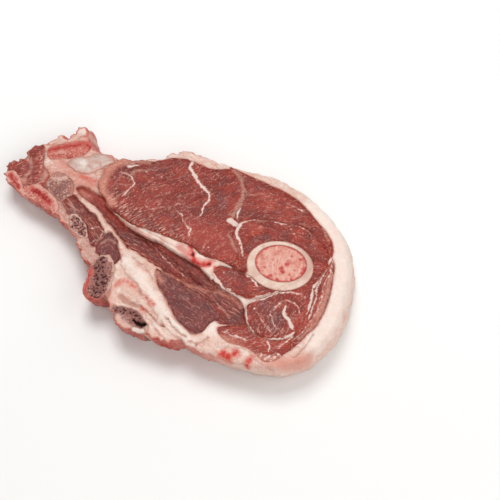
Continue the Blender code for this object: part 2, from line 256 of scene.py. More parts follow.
def wander(spots):
    """How far borders stray from their smooth course: much at the ribs, not at all at the ring."""
    x, y = spots[:, 0], spots[:, 1]
    apart = np.linalg.norm(spots - RING_MIDDLE, axis=1)
    share = eased(apart, 15.0, 24.0) * (0.55 + 0.45 * eased(-x, -10.0, 35.0))
    stray_x = 0.75 * uneven(x, y, 4.2, 13) + 0.38 * uneven(x, y, 1.7, 14)
    stray_y = 0.75 * uneven(x, y, 4.2, 15) + 0.38 * uneven(x, y, 1.7, 16)
    return np.column_stack([stray_x * share, stray_y * share])


def outward(loop):
    """Direction out of the piece at each point of a loop."""
    along = np.roll(loop, -1, axis=0) - np.roll(loop, 1, axis=0)
    along /= np.maximum(np.linalg.norm(along, axis=1, keepdims=True), 1e-6)
    return np.column_stack([along[:, 1], -along[:, 0]])


def open_share(node, spots):
    """1 where the border is the outside of the chop, 0 where another piece touches it."""
    nearest = np.full(len(spots), FAR)
    for other, loops in raw_loops.items():
        if other != node:
            apart, _ = distance_to(spots, *sides_of(loops), reach=4.0)
            nearest = np.where(apart < 4.0, np.minimum(nearest, apart), nearest)
    return eased(nearest, 0.6, 3.0)


outlines, inner_sides, outer_starts, outer_ends = {}, {}, [], []
for node, loops in raw_loops.items():
    outlines[node] = []
    inner_starts, inner_ends = [], []
    for loop in loops:
        curve = smooth_curve(loop, BORDER_STEP, closed=True)
        bare = open_share(node, curve)
        curve = curve + wander(curve)
        ragged = MOST_RAGGED * (0.2 + 0.8 * eased(-curve[:, 0], -35.0, 5.0))
        torn = uneven(curve[:, 0], curve[:, 1], 3.2, 5)
        torn = torn + 0.6 * uneven(curve[:, 0], curve[:, 1], 1.3, 6)
        move = SEAM_GAP + ragged * torn * bare
        curve = curve + outward(curve) * move[:, None]
        outlines[node].append(curve)
        bare_side = (bare > 0.02) & (np.roll(bare, -1) > 0.02)
        outer_starts.append(curve[bare_side])
        outer_ends.append(np.roll(curve, -1, axis=0)[bare_side])
        inner_starts.append(curve[~bare_side])
        inner_ends.append(np.roll(curve, -1, axis=0)[~bare_side])
    inner_sides[node] = np.vstack(inner_starts), np.vstack(inner_ends)
outer_starts, outer_ends = np.vstack(outer_starts), np.vstack(outer_ends)
rim_length = np.linalg.norm(outer_ends - outer_starts, axis=1).sum()
print(f"outside of the chop: {rim_length:.0f} mm round")

# %% [markdown]
# ## The height of the cut face
# The saw leaves one plane, but each muscle then settles at its own height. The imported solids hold
# those heights, so they are read from their top corners and smoothed over a few millimetres. Close
# to a seam the two neighbours' heights are blended, which turns a step into a soft slope.

# %% Heights read from the frame
LEVEL_REACH = 4.0
SETTLE = 0.45
face_marks = {}
for node, loops in raw_loops.items():
    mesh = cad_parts[node].data
    places = np.array([corner.co for corner in mesh.vertices]) / MM
    places = places[places[:, 2] > 0.4 * FACE_HEIGHT]
    spots = places[:, :2] - LEAN * (FACE_HEIGHT - places[:, 2:3])
    lift = places[:, 2] - FACE_HEIGHT - FACE_RISE * places[:, 0]
    seam, _ = distance_to(spots, *sides_of(loops))
    inner = seam > min(1.2, 0.9 * seam.max())
    face_marks[node] = spots[inner], lift[inner]


def own_level(node, spots):
    """Height of a piece over the sloping cut face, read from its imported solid."""
    known, lift = face_marks[node]
    found = np.empty(len(spots))
    for first in range(0, len(spots), 4000):
        some = spots[first : first + 4000]
        apart = ((some[:, None] - known) ** 2).sum(axis=2)
        apart -= apart.min(axis=1, keepdims=True)
        weight = np.exp(-apart / (2 * LEVEL_REACH**2))
        found[first : first + 4000] = weight @ lift / weight.sum(axis=1)
    return found


def settled_level(node, spots):
    """The same, blended with the neighbours close to a seam."""
    total, weight = own_level(node, spots), np.ones(len(spots))
    for other in raw_loops:
        if other == node:
            continue
        apart, _ = distance_to(spots, *sides_of(raw_loops[other]), reach=4.0)
        near = np.flatnonzero(apart < 4.0)
        if len(near):
            share = np.exp(-apart[near] / SETTLE)
            total[near] += share * own_level(other, spots[near])
            weight[near] += share
    return total / weight


print("heights read from", sum(len(lift) for _, lift in face_marks.values()), "corners")

# %% [markdown]
# ## Filling an outline
# A plan is filled with nearly even triangles: points on a honeycomb grid, shifted a little so that
# no rows show, and a constrained Delaunay triangulation that keeps every side of the outline.
# Triangles that fall in a hole are the ones whose three corners all lie on the border and whose
# middle is outside, so only those need testing.

# %% Fill an outline with points and triangles
spread = np.random.default_rng(7)


def is_inside(spots, loops):
    """True for spots inside the outline and outside its holes."""
    crossings = np.zeros(len(spots), int)
    starts, ends = sides_of(loops)
    for (x1, y1), (x2, y2) in zip(starts, ends):
        if y1 != y2:
            spans = (spots[:, 1] > y1) != (spots[:, 1] > y2)
            some = np.flatnonzero(spans)
            meets = x1 + (spots[some, 1] - y1) * (x2 - x1) / (y2 - y1)
            crossings[some] += spots[some, 0] < meets
    return crossings % 2 == 1


def fill_outline(loops, spacing):
    """Points, triangles and border sides of a plan."""
    low, high = loops[0].min(axis=0), loops[0].max(axis=0)
    rows = np.arange(low[1], high[1], spacing * math.sqrt(0.75))
    columns = np.arange(low[0], high[0], spacing)
    grid = np.array(
        [(x + spacing * 0.5 * (row % 2), y) for row, y in enumerate(rows) for x in columns]
    )
    grid = grid + spread.uniform(-0.16, 0.16, grid.shape) * spacing
    grid = grid[is_inside(grid, loops)]
    clear, _ = distance_to(grid, *sides_of(loops))
    points = np.vstack([*loops, grid[clear > 0.55 * min(spacing, 2 * BORDER_STEP)]])
    sides, first = [], 0
    for loop in loops:
        ring = list(range(first, first + len(loop)))
        sides += zip(ring, ring[1:] + ring[:1])
        first += len(loop)
    corners, _, faces, *_ = geometry.delaunay_2d_cdt(
        [Vector(point) for point in points], sides, [], 1, 1e-5, False
    )
    corners, faces = np.array([tuple(corner) for corner in corners]), np.array(faces)
    on_border = (faces < first).all(axis=1)
    doubtful = np.flatnonzero(on_border)
    outside = ~is_inside(corners[faces[doubtful]].mean(axis=1), loops)
    faces = np.delete(faces, doubtful[outside], axis=0)
    edges = {}
    for a, b in np.vstack([faces[:, [0, 1]], faces[:, [1, 2]], faces[:, [2, 0]]]).tolist():
        edges[a, b] = True
    border = [(a, b) for a, b in edges if (b, a) not in edges]
    return corners, faces, border


arm_bone_loops = len(outlines["arm_bone"])
print("outlines that bound the arm bone, its hole among them:", arm_bone_loops)

# %% [markdown]
# ## Marks on the meat
# Seams of fat, membranes, blood spots, dusky patches and cuts are what make one chop differ from
# the next; the slits, holes and creases that are cut in, and the sunk edge under the tendon, are
# darkened with painted shade. Each is drawn as a short line of guide points, in millimetres from the
# low corner of the piece that it lies on. What the finish needs is the distance to the edge of the
# mark, negative inside it, because a distance stays sharp however far apart the mesh points are.

# %% Distance to the marks on a piece
# Some kinds are painted shade: dark blackens the slits and holes cut into the mesh; dusk darkens
# patches of tone and, where it cuts in, creases and folds with painted shade; the shade kind is
# painted shadow under ledges in lean meat and a red stain in fat.
MARK_KINDS = ("white", "film", "chalk", "fresh", "pale", "dusk", "shade_and_red_stain", "blood", "dark")
MARK_STEP = 0.8
NARROWEST_CUT = 0.55
FADE_DOWN = 0.45


def marks_on(node, marks, spots):
    """Signed distance to each kind of mark, and how deep the cuts go."""
    fields = {kind: np.full(len(spots), FAR) for kind in MARK_KINDS}
    depth = np.zeros(len(spots))
    x, y = spots[:, 0], spots[:, 1]
    stray_x = 0.5 * uneven(x, y, 2.1, 11) + 0.28 * uneven(x, y, 0.9, 17)
    stray_y = 0.5 * uneven(x, y, 2.1, 12) + 0.28 * uneven(x, y, 0.9, 18)
    shifted = spots + np.column_stack([stray_x, stray_y]) - low_corner[node]
    for kind, widths, cut, guides in marks:
        start_width, end_width = widths if isinstance(widths, tuple) else (widths, widths)
        curve = smooth_curve(guides, MARK_STEP, closed=False)
        starts, ends = (curve[:-1], curve[1:]) if len(curve) > 1 else (curve, curve)
        apart, which = distance_to(shifted, starts, ends, reach=14.0)
        width = start_width + (end_width - start_width) * which / max(len(starts) - 1, 1)
        fields[kind] = np.minimum(fields[kind], np.where(apart < 14.0, apart - width, FAR))
        if cut:
            depth += cut * np.exp(-((apart / np.maximum(1.3 * width, NARROWEST_CUT)) ** 2))
    return fields, depth


def dots(kind, size, cut, places):
    """A mark of one point at each place."""
    return [(kind, size, cut, [place]) for place in places]


print("kinds of marks:", ", ".join(MARK_KINDS))

# %% [markdown]
# ## Relief of each substance
# A sawn muscle is combed with fine ridges along its fibres; fat is softly lumpy; compact bone keeps
# faint saw lines; spongy bone is full of pores. The ridges here are real mesh relief. Muscle fibre
# bundles are about 0.5 mm wide, so they are drawn 0.8 mm wide, the finest that this mesh can hold.


# %% Relief of muscle, fat, bone and sponge
def muscle_relief(x, y, along, across):
    ridges = uneven(0.16 * along, across, 0.8, 21)
    bundles = uneven(0.22 * along, across, 2.4, 22)
    beads = uneven(0.5 * along, across, 0.95, 24)
    return 0.07 * ridges + 0.05 * beads + 0.13 * bundles + 0.22 * uneven(x, y, 6.0, 23)


def fat_relief(x, y, along, across):
    torn = 0.45 + 1.3 * eased(-x, -45.0, 15.0)
    lobes = 1.0 - np.abs(uneven(0.4 * along, across, 3.4, 31))
    small = 1.0 - np.abs(uneven(0.5 * along, across, 1.5, 34))
    bumps = 0.24 * lobes + 0.12 * small + 0.28 * uneven(x, y, 7.0, 32)
    return torn * (bumps + 0.07 * uneven(x, y, 1.1, 33) - 0.2)


def bone_relief(x, y, along, across):
    return 0.035 * uneven(0.1 * along, across, 0.9, 41) + 0.08 * uneven(x, y, 5.0, 42)


def pores(x, y):
    """1 in the middle of a pore, 0 on the bone between."""
    wide = uneven(x, y, 0.72, 51) + 0.6 * uneven(x, y, 0.5, 52)
    return eased(wide, 0.12, 0.7)


def sponge_relief(x, y, along, across):
    return 0.15 * uneven(x, y, 3.0, 53) + 0.1 * uneven(x, y, 0.9, 54)


def marrow_relief(x, y, along, across):
    return 0.07 * uneven(0.3 * along, across, 0.9, 61) + 0.18 * uneven(x, y, 3.4, 62)


def gristle_relief(x, y, along, across):
    return 0.22 * uneven(x, y, 5.5, 71) + 0.08 * uneven(0.2 * along, across, 1.2, 72)


for relief_of in (muscle_relief, fat_relief, bone_relief, sponge_relief):
    print(relief_of.__name__, "across 6 mm:", relief_of(0 * steps, steps, 0 * steps, steps).round(2))

# %% [markdown]
# ## The top of a piece
# The top dips to a groove at every seam, because cut muscles draw back from each other. At the
# outside it rolls over: widely where the fat was trimmed round, hardly at the ribs, which were sawn.
# The relief of the substance, the cuts and the fat that stands proud are added to that height.

# %% Shape the top
SEAM_DIP = 0.26
SEAM_DIP_REACH = 0.9
SEAM_SLIT = 0.16
SEAM_SLIT_REACH = 0.28
PROUD_FAT = 0.12


def rolled(apart, radius):
    """Drop of a rounded edge at a distance in from its outside."""
    inward = np.clip(1.0 - apart / radius, 0.0, 1.0)
    return radius * (1.0 - np.sqrt(np.maximum(1.0 - inward**2, 0.0)))


def edge_radius(spots, radius):
    """The trimmed fat at the right rolls over widely; the rib side is sawn square."""
    wide = eased(spots[:, 0], -30.0, 45.0)
    return radius * (0.45 + 0.55 * wide) + 0.25 * uneven(spots[:, 0], spots[:, 1], 9.0, 81)


def shape_face(node, spots, marks, relief, grain, radius, seam_dip):
    """Height of the cut face at each spot, and the fields that the finishes read."""
    seam, _ = distance_to(spots, *inner_sides[node])
    outer, _ = distance_to(spots, outer_starts, outer_ends, reach=8.0)
    fields, depth = marks_on(node, marks, spots)
    x, y = spots[:, 0], spots[:, 1]
    turn = math.radians(grain)
    along = x * math.cos(turn) + y * math.sin(turn) + 1.2 * uneven(x, y, 11.0, 91)
    across = y * math.cos(turn) - x * math.sin(turn) + 1.6 * uneven(x, y, 14.0, 92)
    height = FACE_HEIGHT + FACE_RISE * x + settled_level(node, spots - wander(spots))
    calm = eased(np.minimum(seam, outer), 0.0, 0.8)
    height += relief(x, y, along, across) * calm
    # the grooves end short of the outside, and are shallow where the ribs hold the slice together
    inner_seam = eased(outer, 0.4, 2.0) * (1.0 - 0.75 * eased(-x, -8.0, 22.0))
    height -= seam_dip * SEAM_DIP * np.exp(-seam / SEAM_DIP_REACH) * inner_seam
    height -= seam_dip * SEAM_SLIT * np.exp(-((seam / SEAM_SLIT_REACH) ** 2)) * inner_seam
    height -= rolled(outer, np.maximum(edge_radius(spots, radius), 0.4))
    height += PROUD_FAT * eased(-fields["white"], -0.2, 0.3) - depth
    fields.update(seam=seam, outer=outer, along=along, across=across)
    return height, fields


def pits_in(node, plan, seam, pit_zone):
    """1 in the pores of a spongy bone, 0 between them, near its border and outside the zone."""
    hollow = pores(plan[:, 0], plan[:, 1]) * eased(seam, 0.3, 1.1)
    if pit_zone:
        zone, _ = marks_on(node, [("dark", pit_zone[0], 0.0, pit_zone[1])], plan)
        hollow *= eased(-zone["dark"], -0.9, 0.3)
    return hollow


print(f"seam grooves are {SEAM_DIP + SEAM_SLIT:.2f} mm deep at most")

# %% [markdown]
# ## The wall of a piece
# A column of points hangs under each point of the border. Where the wall is the outside of the
# chop, it bulges a little, carries small tears of its own, and the teeth of the rim even out on the
# way down. Where it touches a neighbour it stays plain, because nothing of it shows.

# %% Hang the wall under the border
CALMING = 24
BULGE = 0.55


def ring_round(plan, border):
    """The border points, their column numbers, the way out at each, and which follows which."""
    ring = sorted({a for a, _ in border})
    column = {corner: number for number, corner in enumerate(ring)}
    facing = np.zeros((len(ring), 2))
    for a, b in border:
        side = plan[b] - plan[a]
        side = np.array((side[1], -side[0])) / max(float(np.linalg.norm(side)), 1e-6)
        facing[column[a]] += side
        facing[column[b]] += side
    facing /= np.maximum(np.linalg.norm(facing, axis=1, keepdims=True), 1e-6)
    ahead = dict(border)
    after = np.array([column[ahead[corner]] for corner in ring])
    return ring, column, facing, after


def hang_wall(rim, facing, after, bare, top, foot):
    """Places in plan and heights of the rows of a wall, from its rim down to its foot."""
    before = np.arange(len(rim))
    before[after] = np.arange(len(rim))
    calm_rim = rim
    for _ in range(CALMING):
        calm_rim = 0.5 * calm_rim + 0.25 * (calm_rim[after] + calm_rim[before])
    lie = rim[:, 0] + 0.7 * rim[:, 1]
    rough = 0.30 + 0.45 * eased(-rim[:, 0], -30.0, 10.0)
    rows, heights = [], []
    for share in 0.5 - 0.5 * np.cos(np.pi * np.arange(1, WALL_ROWS) / WALL_ROWS):
        z = top + (foot - top) * share
        belly = math.sin(math.pi * share)
        tears = uneven(lie, z, 3.6, 95) + 0.5 * uneven(lie, z, 1.5, 96)
        push = BULGE * belly + rough * belly**0.6 * tears
        calmed = (calm_rim - rim) * (bare * belly**0.5)[:, None]
        rows.append(rim + calmed + facing * (push * bare)[:, None])
        heights.append(z)
    return rows, heights


def slab_faces(top_faces, under_faces, border, column, first_row, under_number):
    """Faces of the top, of the wall from row to row, and of the underside."""
    faces = top_faces.tolist()
    for row in range(WALL_ROWS):
        upper, lower = first_row + (row - 1) * len(column), first_row + row * len(column)
        for a, b in border:
            upper_a, upper_b = (upper + column[a], upper + column[b]) if row else (a, b)
            faces.append((upper_b, upper_a, lower + column[a], lower + column[b]))
    return faces + under_number[under_faces[:, ::-1]].tolist()


print("each wall has", WALL_ROWS, "rows of faces")

# %% [markdown]
# ## Making a piece
# Each piece is a closed slab: a finely divided top, the wall, and a flat underside that rests on
# the board, with a slightly rounded lower edge. What the finishes read is saved on the points as
# named attributes, because Blender's nodes can look those up without any image or UV map.

# %% Make a piece
UNDER_ROLL = 1.3
PORE_SHARE = 0.65
pieces = {}


def save_fields(mesh, saved, fibre):
    """One number attribute for each field, and the lie of the fibres as a vector."""
    for name, values in saved.items():
        field = mesh.attributes.new(name, "FLOAT", "POINT")
        field.data.foreach_set("value", values.astype(np.float32))
    field = mesh.attributes.new("fibre", "FLOAT_VECTOR", "POINT")
    field.data.foreach_set("vector", fibre.astype(np.float32).ravel())


def make_piece(node, finish, marks=(), relief=muscle_relief, grain=0.0, radius=1.6,
               seam_dip=1.0, pit=0.0, pit_zone=None):
    """A closed slab for a node, with its fields saved as attributes."""
    spacing = TOP_SPACING * (PORE_SHARE if pit else 1.0)
    plan, top_faces, border = fill_outline(outlines[node], spacing)
    under, under_faces, under_border = fill_outline(outlines[node], UNDER_SPACING)
    height, fields = shape_face(node, plan, marks, relief, grain, radius, seam_dip)
    hollow = pits_in(node, plan, fields["seam"], pit_zone) if pit else np.zeros(len(plan))
    height -= pit * hollow
    _, under_fields = shape_face(node, under, marks, relief, grain, radius, seam_dip)
    under_height = rolled(under_fields["outer"], UNDER_ROLL)

    ring, column, facing, after = ring_round(plan, border)
    rim = plan[ring]
    bare = open_share(node, rim - wander(rim))
    under_at = {tuple(under[a].round(4)): a for a, _ in under_border}
    foot = np.array([under_at[tuple(place.round(4))] for place in rim])
    wall, wall_height = hang_wall(rim, facing, after, bare, height[ring], under_height[foot])

    # one list of points: the top, the wall's rows, its foot, then the rest of the underside
    rest = np.setdiff1d(np.arange(len(under)), foot)
    spots = np.vstack([plan, *wall, under[foot], under[rest]])
    z = np.concatenate([height, *wall_height, under_height[foot], under_height[rest]])
    places = np.column_stack([spots + LEAN * (FACE_HEIGHT - z)[:, None], z]) * MM
    rows = len(wall)
    on_wall = slice(len(plan), len(plan) + rows * len(ring))
    under_number = np.zeros(len(under), int)
    under_number[foot] = on_wall.stop + np.arange(len(ring))
    under_number[rest] = on_wall.stop + len(ring) + np.arange(len(rest))
    faces = slab_faces(top_faces, under_faces, border, column, len(plan), under_number)
    mesh = bpy.data.meshes.new(node)
    mesh.from_pydata(places.tolist(), [], faces)
    mesh.shade_smooth()

    def whole(top, under_values, wall_value=None):
        """A field over every point: top, wall and underside."""
        on_side = np.tile(top[ring], rows)
        if wall_value is not None:
            on_side = np.where(np.tile(bare, rows) > 0.3, wall_value, on_side)
        return np.concatenate([top, on_side, under_values[foot], under_values[rest]])

    saved = {kind: whole(fields[kind], under_fields[kind]) for kind in MARK_KINDS}
    # most marks lie on the cut face, so they fade on the way down the wall
    for kind in MARK_KINDS:
        saved[kind][on_wall] += FADE_DOWN * (np.tile(height[ring], rows) - z[on_wall])
    saved["seam"] = whole(fields["seam"], under_fields["seam"], wall_value=6.0)
    saved["skin"] = whole(fields["outer"], under_fields["outer"], wall_value=0.0)
    saved["pore"] = whole(hollow, np.zeros(len(under)), wall_value=0.0)
    # "side" is the torn and bloody outside: all of it at the ribs, a trace of it at the outer fat
    near_ribs = 0.12 + 0.88 * eased(-plan[:, 0], -42.0, 5.0)
    saved["side"] = np.zeros(len(spots))
    saved["side"][: len(plan)] = near_ribs * eased(-fields["outer"], -1.7, 0.0)
    saved["side"][on_wall] = np.tile(bare * near_ribs[ring], rows)
    along = whole(fields["along"], under_fields["along"])
    across = whole(fields["across"], under_fields["across"])
    save_fields(mesh, saved, np.column_stack([along, across, z]))

    piece = bpy.data.objects.new(node + "_meat", mesh)
    bpy.context.scene.collection.objects.link(piece)
    piece.data.materials.append(finish)
    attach(piece, "root")
    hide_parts(node)
    pieces[node] = piece
    print(f"{node}: {len(faces)} faces, top between {height.min():.1f} and {height.max():.1f} mm")


# %% [markdown]
# ## Helpers for the finishes
# A colour that a person picks is in sRGB, while the shader works in linear light, so one function
# turns a hex code into linear values. Another adds a node, gives it its settings and links it.
# `tinted` lays a tint over a colour wherever a field falls between two values: that one step makes
# veins, blood, seams and stains. `frayed` adds noise to a field first, so that a mark gets a torn
# edge instead of a drawn one.


# %% Colour and node helpers
def linear(code):
    """Linear RGBA of an sRGB hex code such as c06a5c."""
    shares = [int(code[i : i + 2], 16) / 255 for i in (0, 2, 4)]
    return [s / 12.92 if s <= 0.04045 else ((s + 0.055) / 1.055) ** 2.4 for s in shares] + [1.0]


def add(tree, kind, settings=None, links=None):
    """A shader node with its settings and links; a link may name a node or one of its sockets."""
    node = tree.nodes.new("ShaderNode" + kind)
    for key, value in (settings or {}).items():
        if isinstance(key, str) and key not in node.inputs:
            setattr(node, key, value)
        else:
            node.inputs[key].default_value = value
    for key, source in (links or {}).items():
        if isinstance(source, bpy.types.Node):
            source = source.outputs[0]
        tree.links.new(source, node.inputs[key])
    return node


def pattern(tree, lie, size, stretch=1.0, detail=2.0, rough=0.5):
    """Random pattern of that size in mm, drawn out along the first axis of the lie."""
    scale = (1.0 / (size * stretch), 1.0 / size, 1.0 / size)
    place = add(tree, "Mapping", {"Scale": scale}, {"Vector": lie})
    settings = {"Scale": 1.0, "Detail": detail, "Roughness": rough}
    return add(tree, "TexNoise", settings, {"Vector": place})


def winding_lines(tree, lie, size, stretch, rough):
    """0 on thin winding lines that size apart, higher away from them."""
    middle = add(tree, "Math", {"operation": "SUBTRACT", 1: 0.5},
                 {0: pattern(tree, lie, size, stretch, 3.0, rough)})
    return add(tree, "Math", {"operation": "ABSOLUTE"}, {0: middle})


def frayed(tree, field, noise, amount):
    """A field with a noisy edge; the field is a socket or the name of one saved on the mesh."""
    if isinstance(field, str):
        field = add(tree, "Attribute", {"attribute_name": field}).outputs["Fac"]
    shift = add(tree, "Math", {"operation": "MULTIPLY_ADD", 1: amount, 2: -0.5 * amount}, {0: noise})
    return add(tree, "Math", {"operation": "ADD"}, {0: field, 1: shift})


def tinted(tree, colour, tint, field, none_at, full_at, share=1.0):
    """The colour, turned towards a tint as a field goes from one value to the other."""
    if isinstance(field, str):
        field = add(tree, "Attribute", {"attribute_name": field}).outputs["Fac"]
    settings = {
        "interpolation_type": "SMOOTHSTEP",
        "From Min": none_at,
        "From Max": full_at,
        "To Min": 0.0,
        "To Max": share,
    }
    mask = add(tree, "MapRange", settings, {"Value": field})
    links = {"Fac": mask}
    settings = {"Color2": linear(tint)}
    if isinstance(colour, str):
        settings["Color1"] = linear(colour)
    else:
        links["Color1"] = colour
    return add(tree, "MixRGB", settings, links)


def new_finish(name):
    """An empty node material, with the place on the object in mm and the lie of the fibres."""
    material = bpy.data.materials.new(name)
    material.use_nodes = True
    tree = material.node_tree
    tree.nodes.clear()
    place = add(tree, "Mapping", {"Scale": (1 / MM,) * 3},
                {"Vector": add(tree, "TexCoord").outputs["Object"]})
    fibre = add(tree, "Attribute", {"attribute_name": "fibre"}).outputs["Vector"]
    return material, tree, place, fibre


print("8f2a1b in linear light:", [round(share, 3) for share in linear("8f2a1b")])

# %% [markdown]
# ## The surface that all finishes share
# Every tissue here is moist, so one function closes each finish. The refraction, 1.4, lies between
# water (1.33) and fat (1.46), and the wet coat has that of meat juice, close to water. Light that
# soaks in comes out redder, because blood lets red through: red goes about 2 mm, blue a fifth of
# that. The fine relief is in millimetres, as deep as the saw leaves it.

# %% Close a finish
TISSUE_IOR = 1.4
JUICE_IOR = 1.34
SOAK_DEPTH = 2.2
SOAK_SHARES = (1.0, 0.35, 0.22)


def close_finish(tree, colour, rough_noise, roughness, relief, relief_depth, glow=0.12, wet=0.2):
    """The surface itself: roughness, fine relief and the light that soaks into moist tissue."""
    low, high = roughness
    rough = add(tree, "MapRange", {"From Min": 0.3, "From Max": 0.7, "To Min": low, "To Max": high},
                {"Value": rough_noise})
    bump = add(tree, "Bump", {"Strength": 1.0, "Distance": relief_depth * MM}, {"Height": relief})
    surface = add(
        tree,
        "BsdfPrincipled",
        {
            "IOR": TISSUE_IOR,
            "Specular IOR Level": 0.35,
            "Subsurface Weight": glow,
            "Subsurface Radius": SOAK_SHARES,
            "Subsurface Scale": SOAK_DEPTH * MM,
            "Coat Weight": wet,
            "Coat Roughness": 0.3,
            "Coat IOR": JUICE_IOR,
        },
        {"Base Color": colour, "Roughness": rough, "Normal": bump},
    )
    add(tree, "OutputMaterial", None, {"Surface": surface})


print("red, green and blue soak in", [round(SOAK_DEPTH * share, 2) for share in SOAK_SHARES], "mm")

# %% [markdown]
# ## Lean meat
# Raw lamb muscle is about three quarters water held in red fibres. A sawn face is moist but not
# glossy, so it has a refraction close to water's, a middling roughness and a thin wet coat. The eye
# sees cloudy patches of darker and lighter red about 8 mm wide, bundles of fibres 1 to 2 mm wide,
# and pale hairlines of connective tissue along the fibres, which are about 0.1 mm wide on the real
# thing and drawn 0.6 mm wide so that they show. One function makes the finish and takes the colours,
# because the muscles of a chop differ in redness but not in make.


# %% Lean meat finish
def sawn_muscle(name, deep, middle, light, hair, hairs=0.7, flecks_and_glints=0.64, run=1.0, glow=0.1):
    material, tree, place, fibre = new_finish(name)
    clouds = pattern(tree, place, 8.0, detail=4.0, rough=0.6)
    bundles = pattern(tree, fibre, 1.6, stretch=4.0 * run, detail=4.0, rough=0.65)
    threads = pattern(tree, fibre, 0.6, stretch=5.5 * run, detail=2.0, rough=0.6)
    grains = pattern(tree, fibre, 0.7, stretch=1.5 * run, detail=3.0, rough=0.7)
    edge = pattern(tree, place, 1.3, detail=4.0, rough=0.7)
    colour = tinted(tree, middle, deep, clouds, 0.54, 0.34, 0.7)
    colour = tinted(tree, colour, light, clouds, 0.50, 0.70, 0.7)
    colour = tinted(tree, colour, deep, bundles, 0.52, 0.32, 0.6)
    colour = tinted(tree, colour, light, bundles, 0.52, 0.72, 0.6)
    # wide soft tints lie under the grain, so that they keep its texture
    pale = frayed(tree, frayed(tree, "pale", clouds, 4.0), edge, 2.5)
    fresh = frayed(tree, frayed(tree, "fresh", clouds, 7.0), edge, 3.0)
    colour = tinted(tree, colour, "ab3f31", fresh, 4.0, -4.0, 0.6)
    colour = tinted(tree, colour, "d08a76", pale, 2.2, -1.8, 0.85)
    film = frayed(tree, "film", edge, 1.4)
    colour = tinted(tree, colour, "b98878", film, 0.9, -0.4, 0.7)
    # darker patches of the meat's own tone; where a dusk mark is cut in, as in the crescent's hollow,
    # the darkening is painted shade
    dusk = frayed(tree, "dusk", clouds, 5.0)
    colour = tinted(tree, colour, "67393a", dusk, 2.2, -2.0, 0.55)
    # painted shadow: the dark band under the tendon's ledge and the dark lines along sunken seams
    shade_and_red_stain = frayed(tree, "shade_and_red_stain", clouds, 3.0)
    colour = tinted(tree, colour, "551a18", shade_and_red_stain, 2.4, -1.6, 0.75)
    colour = tinted(tree, colour, deep, grains, 0.50, 0.36, 0.45)
    # pale flecks: partly connective tissue, partly painted glints of the wet surface
    colour = tinted(tree, colour, hair, grains, flecks_and_glints - 0.06, flecks_and_glints + 0.06, 0.6)
    # the films between bundles are sheets, so the saw shows them as thin winding lines
    films = winding_lines(tree, fibre, 4.5, 2.2 * run, 0.55)
    colour = tinted(tree, colour, hair, films, 0.013, 0.003, 0.35)
    # the saw combs up the fibres in chalky zones: there more of the threads turn pale
    combed = frayed(tree, "chalk", clouds, 8.0)
    combed = add(tree, "MapRange", {"interpolation_type": "SMOOTHSTEP", "From Min": 3.0,
                                    "From Max": -3.0, "To Min": 0.0, "To Max": 0.12},
                 {"Value": combed})
    combed = add(tree, "Math", {"operation": "ADD"}, {0: threads, 1: combed})
    colour = tinted(tree, colour, hair, combed, 0.65, 0.75, hairs)
    seam = frayed(tree, frayed(tree, "seam", edge, 1.6), clouds, 1.5)
    colour = tinted(tree, colour, "c98d7f", seam, 0.45, -0.1, 0.6)
    skin = frayed(tree, frayed(tree, "skin", edge, 1.6), clouds, 2.0)
    colour = tinted(tree, colour, "d3a796", skin, 1.1, 0.0, 0.75)
    # on the rib side the wall is torn and bloody rather than covered by a clean film
    side = frayed(tree, frayed(tree, "side", clouds, -1.2), edge, -1.0)
    colour = tinted(tree, colour, "9c4234", side, 0.3, 0.9, 0.8)
    white = frayed(tree, "white", edge, 1.5)
    colour = tinted(tree, colour, "c98a7b", white, 0.6, -0.05, 0.5)
    colour = tinted(tree, colour, "dfc9be", white, 0.14, -0.16, 0.92)
    blood = frayed(tree, "blood", edge, 2.0)
    colour = tinted(tree, colour, "a01b1c", blood, 0.5, -0.5, 0.85)
    # painted shade: near-black slits cut into the mesh between muscles
    dark = frayed(tree, "dark", edge, 0.8)
    colour = tinted(tree, colour, "2d1012", dark, 0.3, -0.2, 0.92)
    close_finish(tree, colour, bundles, (0.38, 0.56), grains, 0.22, glow=glow, wet=0.08)
    return material


eye_meat = sawn_muscle("lamb_eye_muscle", "60160d", "882618", "a63c2a", "dca290")
lean_meat = sawn_muscle("lean_lamb_muscle", "66180e", "8f2a1b", "ad412f", "dca290")
deep_meat = sawn_muscle("deep_rib_muscle", "50120c", "7b2116", "953527", "c4826f", run=1.8)
dusky_meat = sawn_muscle("dusky_breast_muscle", "521a18", "702824", "873a33", "bb877b",
                         hairs=0.5, run=1.2)
for finish in (eye_meat, lean_meat, deep_meat, dusky_meat):
    print(finish.name, "has", len(finish.node_tree.nodes), "nodes")

# %% [markdown]
# ## Fat
# Lamb fat is firm and waxy when cold. Light goes a few millimetres in, so it looks soft and creamy,
# and it is divided into lobes 3 to 5 mm wide by thin films that hold traces of blood and look pink.
# Near the ribs it is torn and stained; the outer band is smooth and nearly white. Fine crumbs left
# by the saw are about 0.2 mm across and are drawn 0.7 mm wide so that they show.


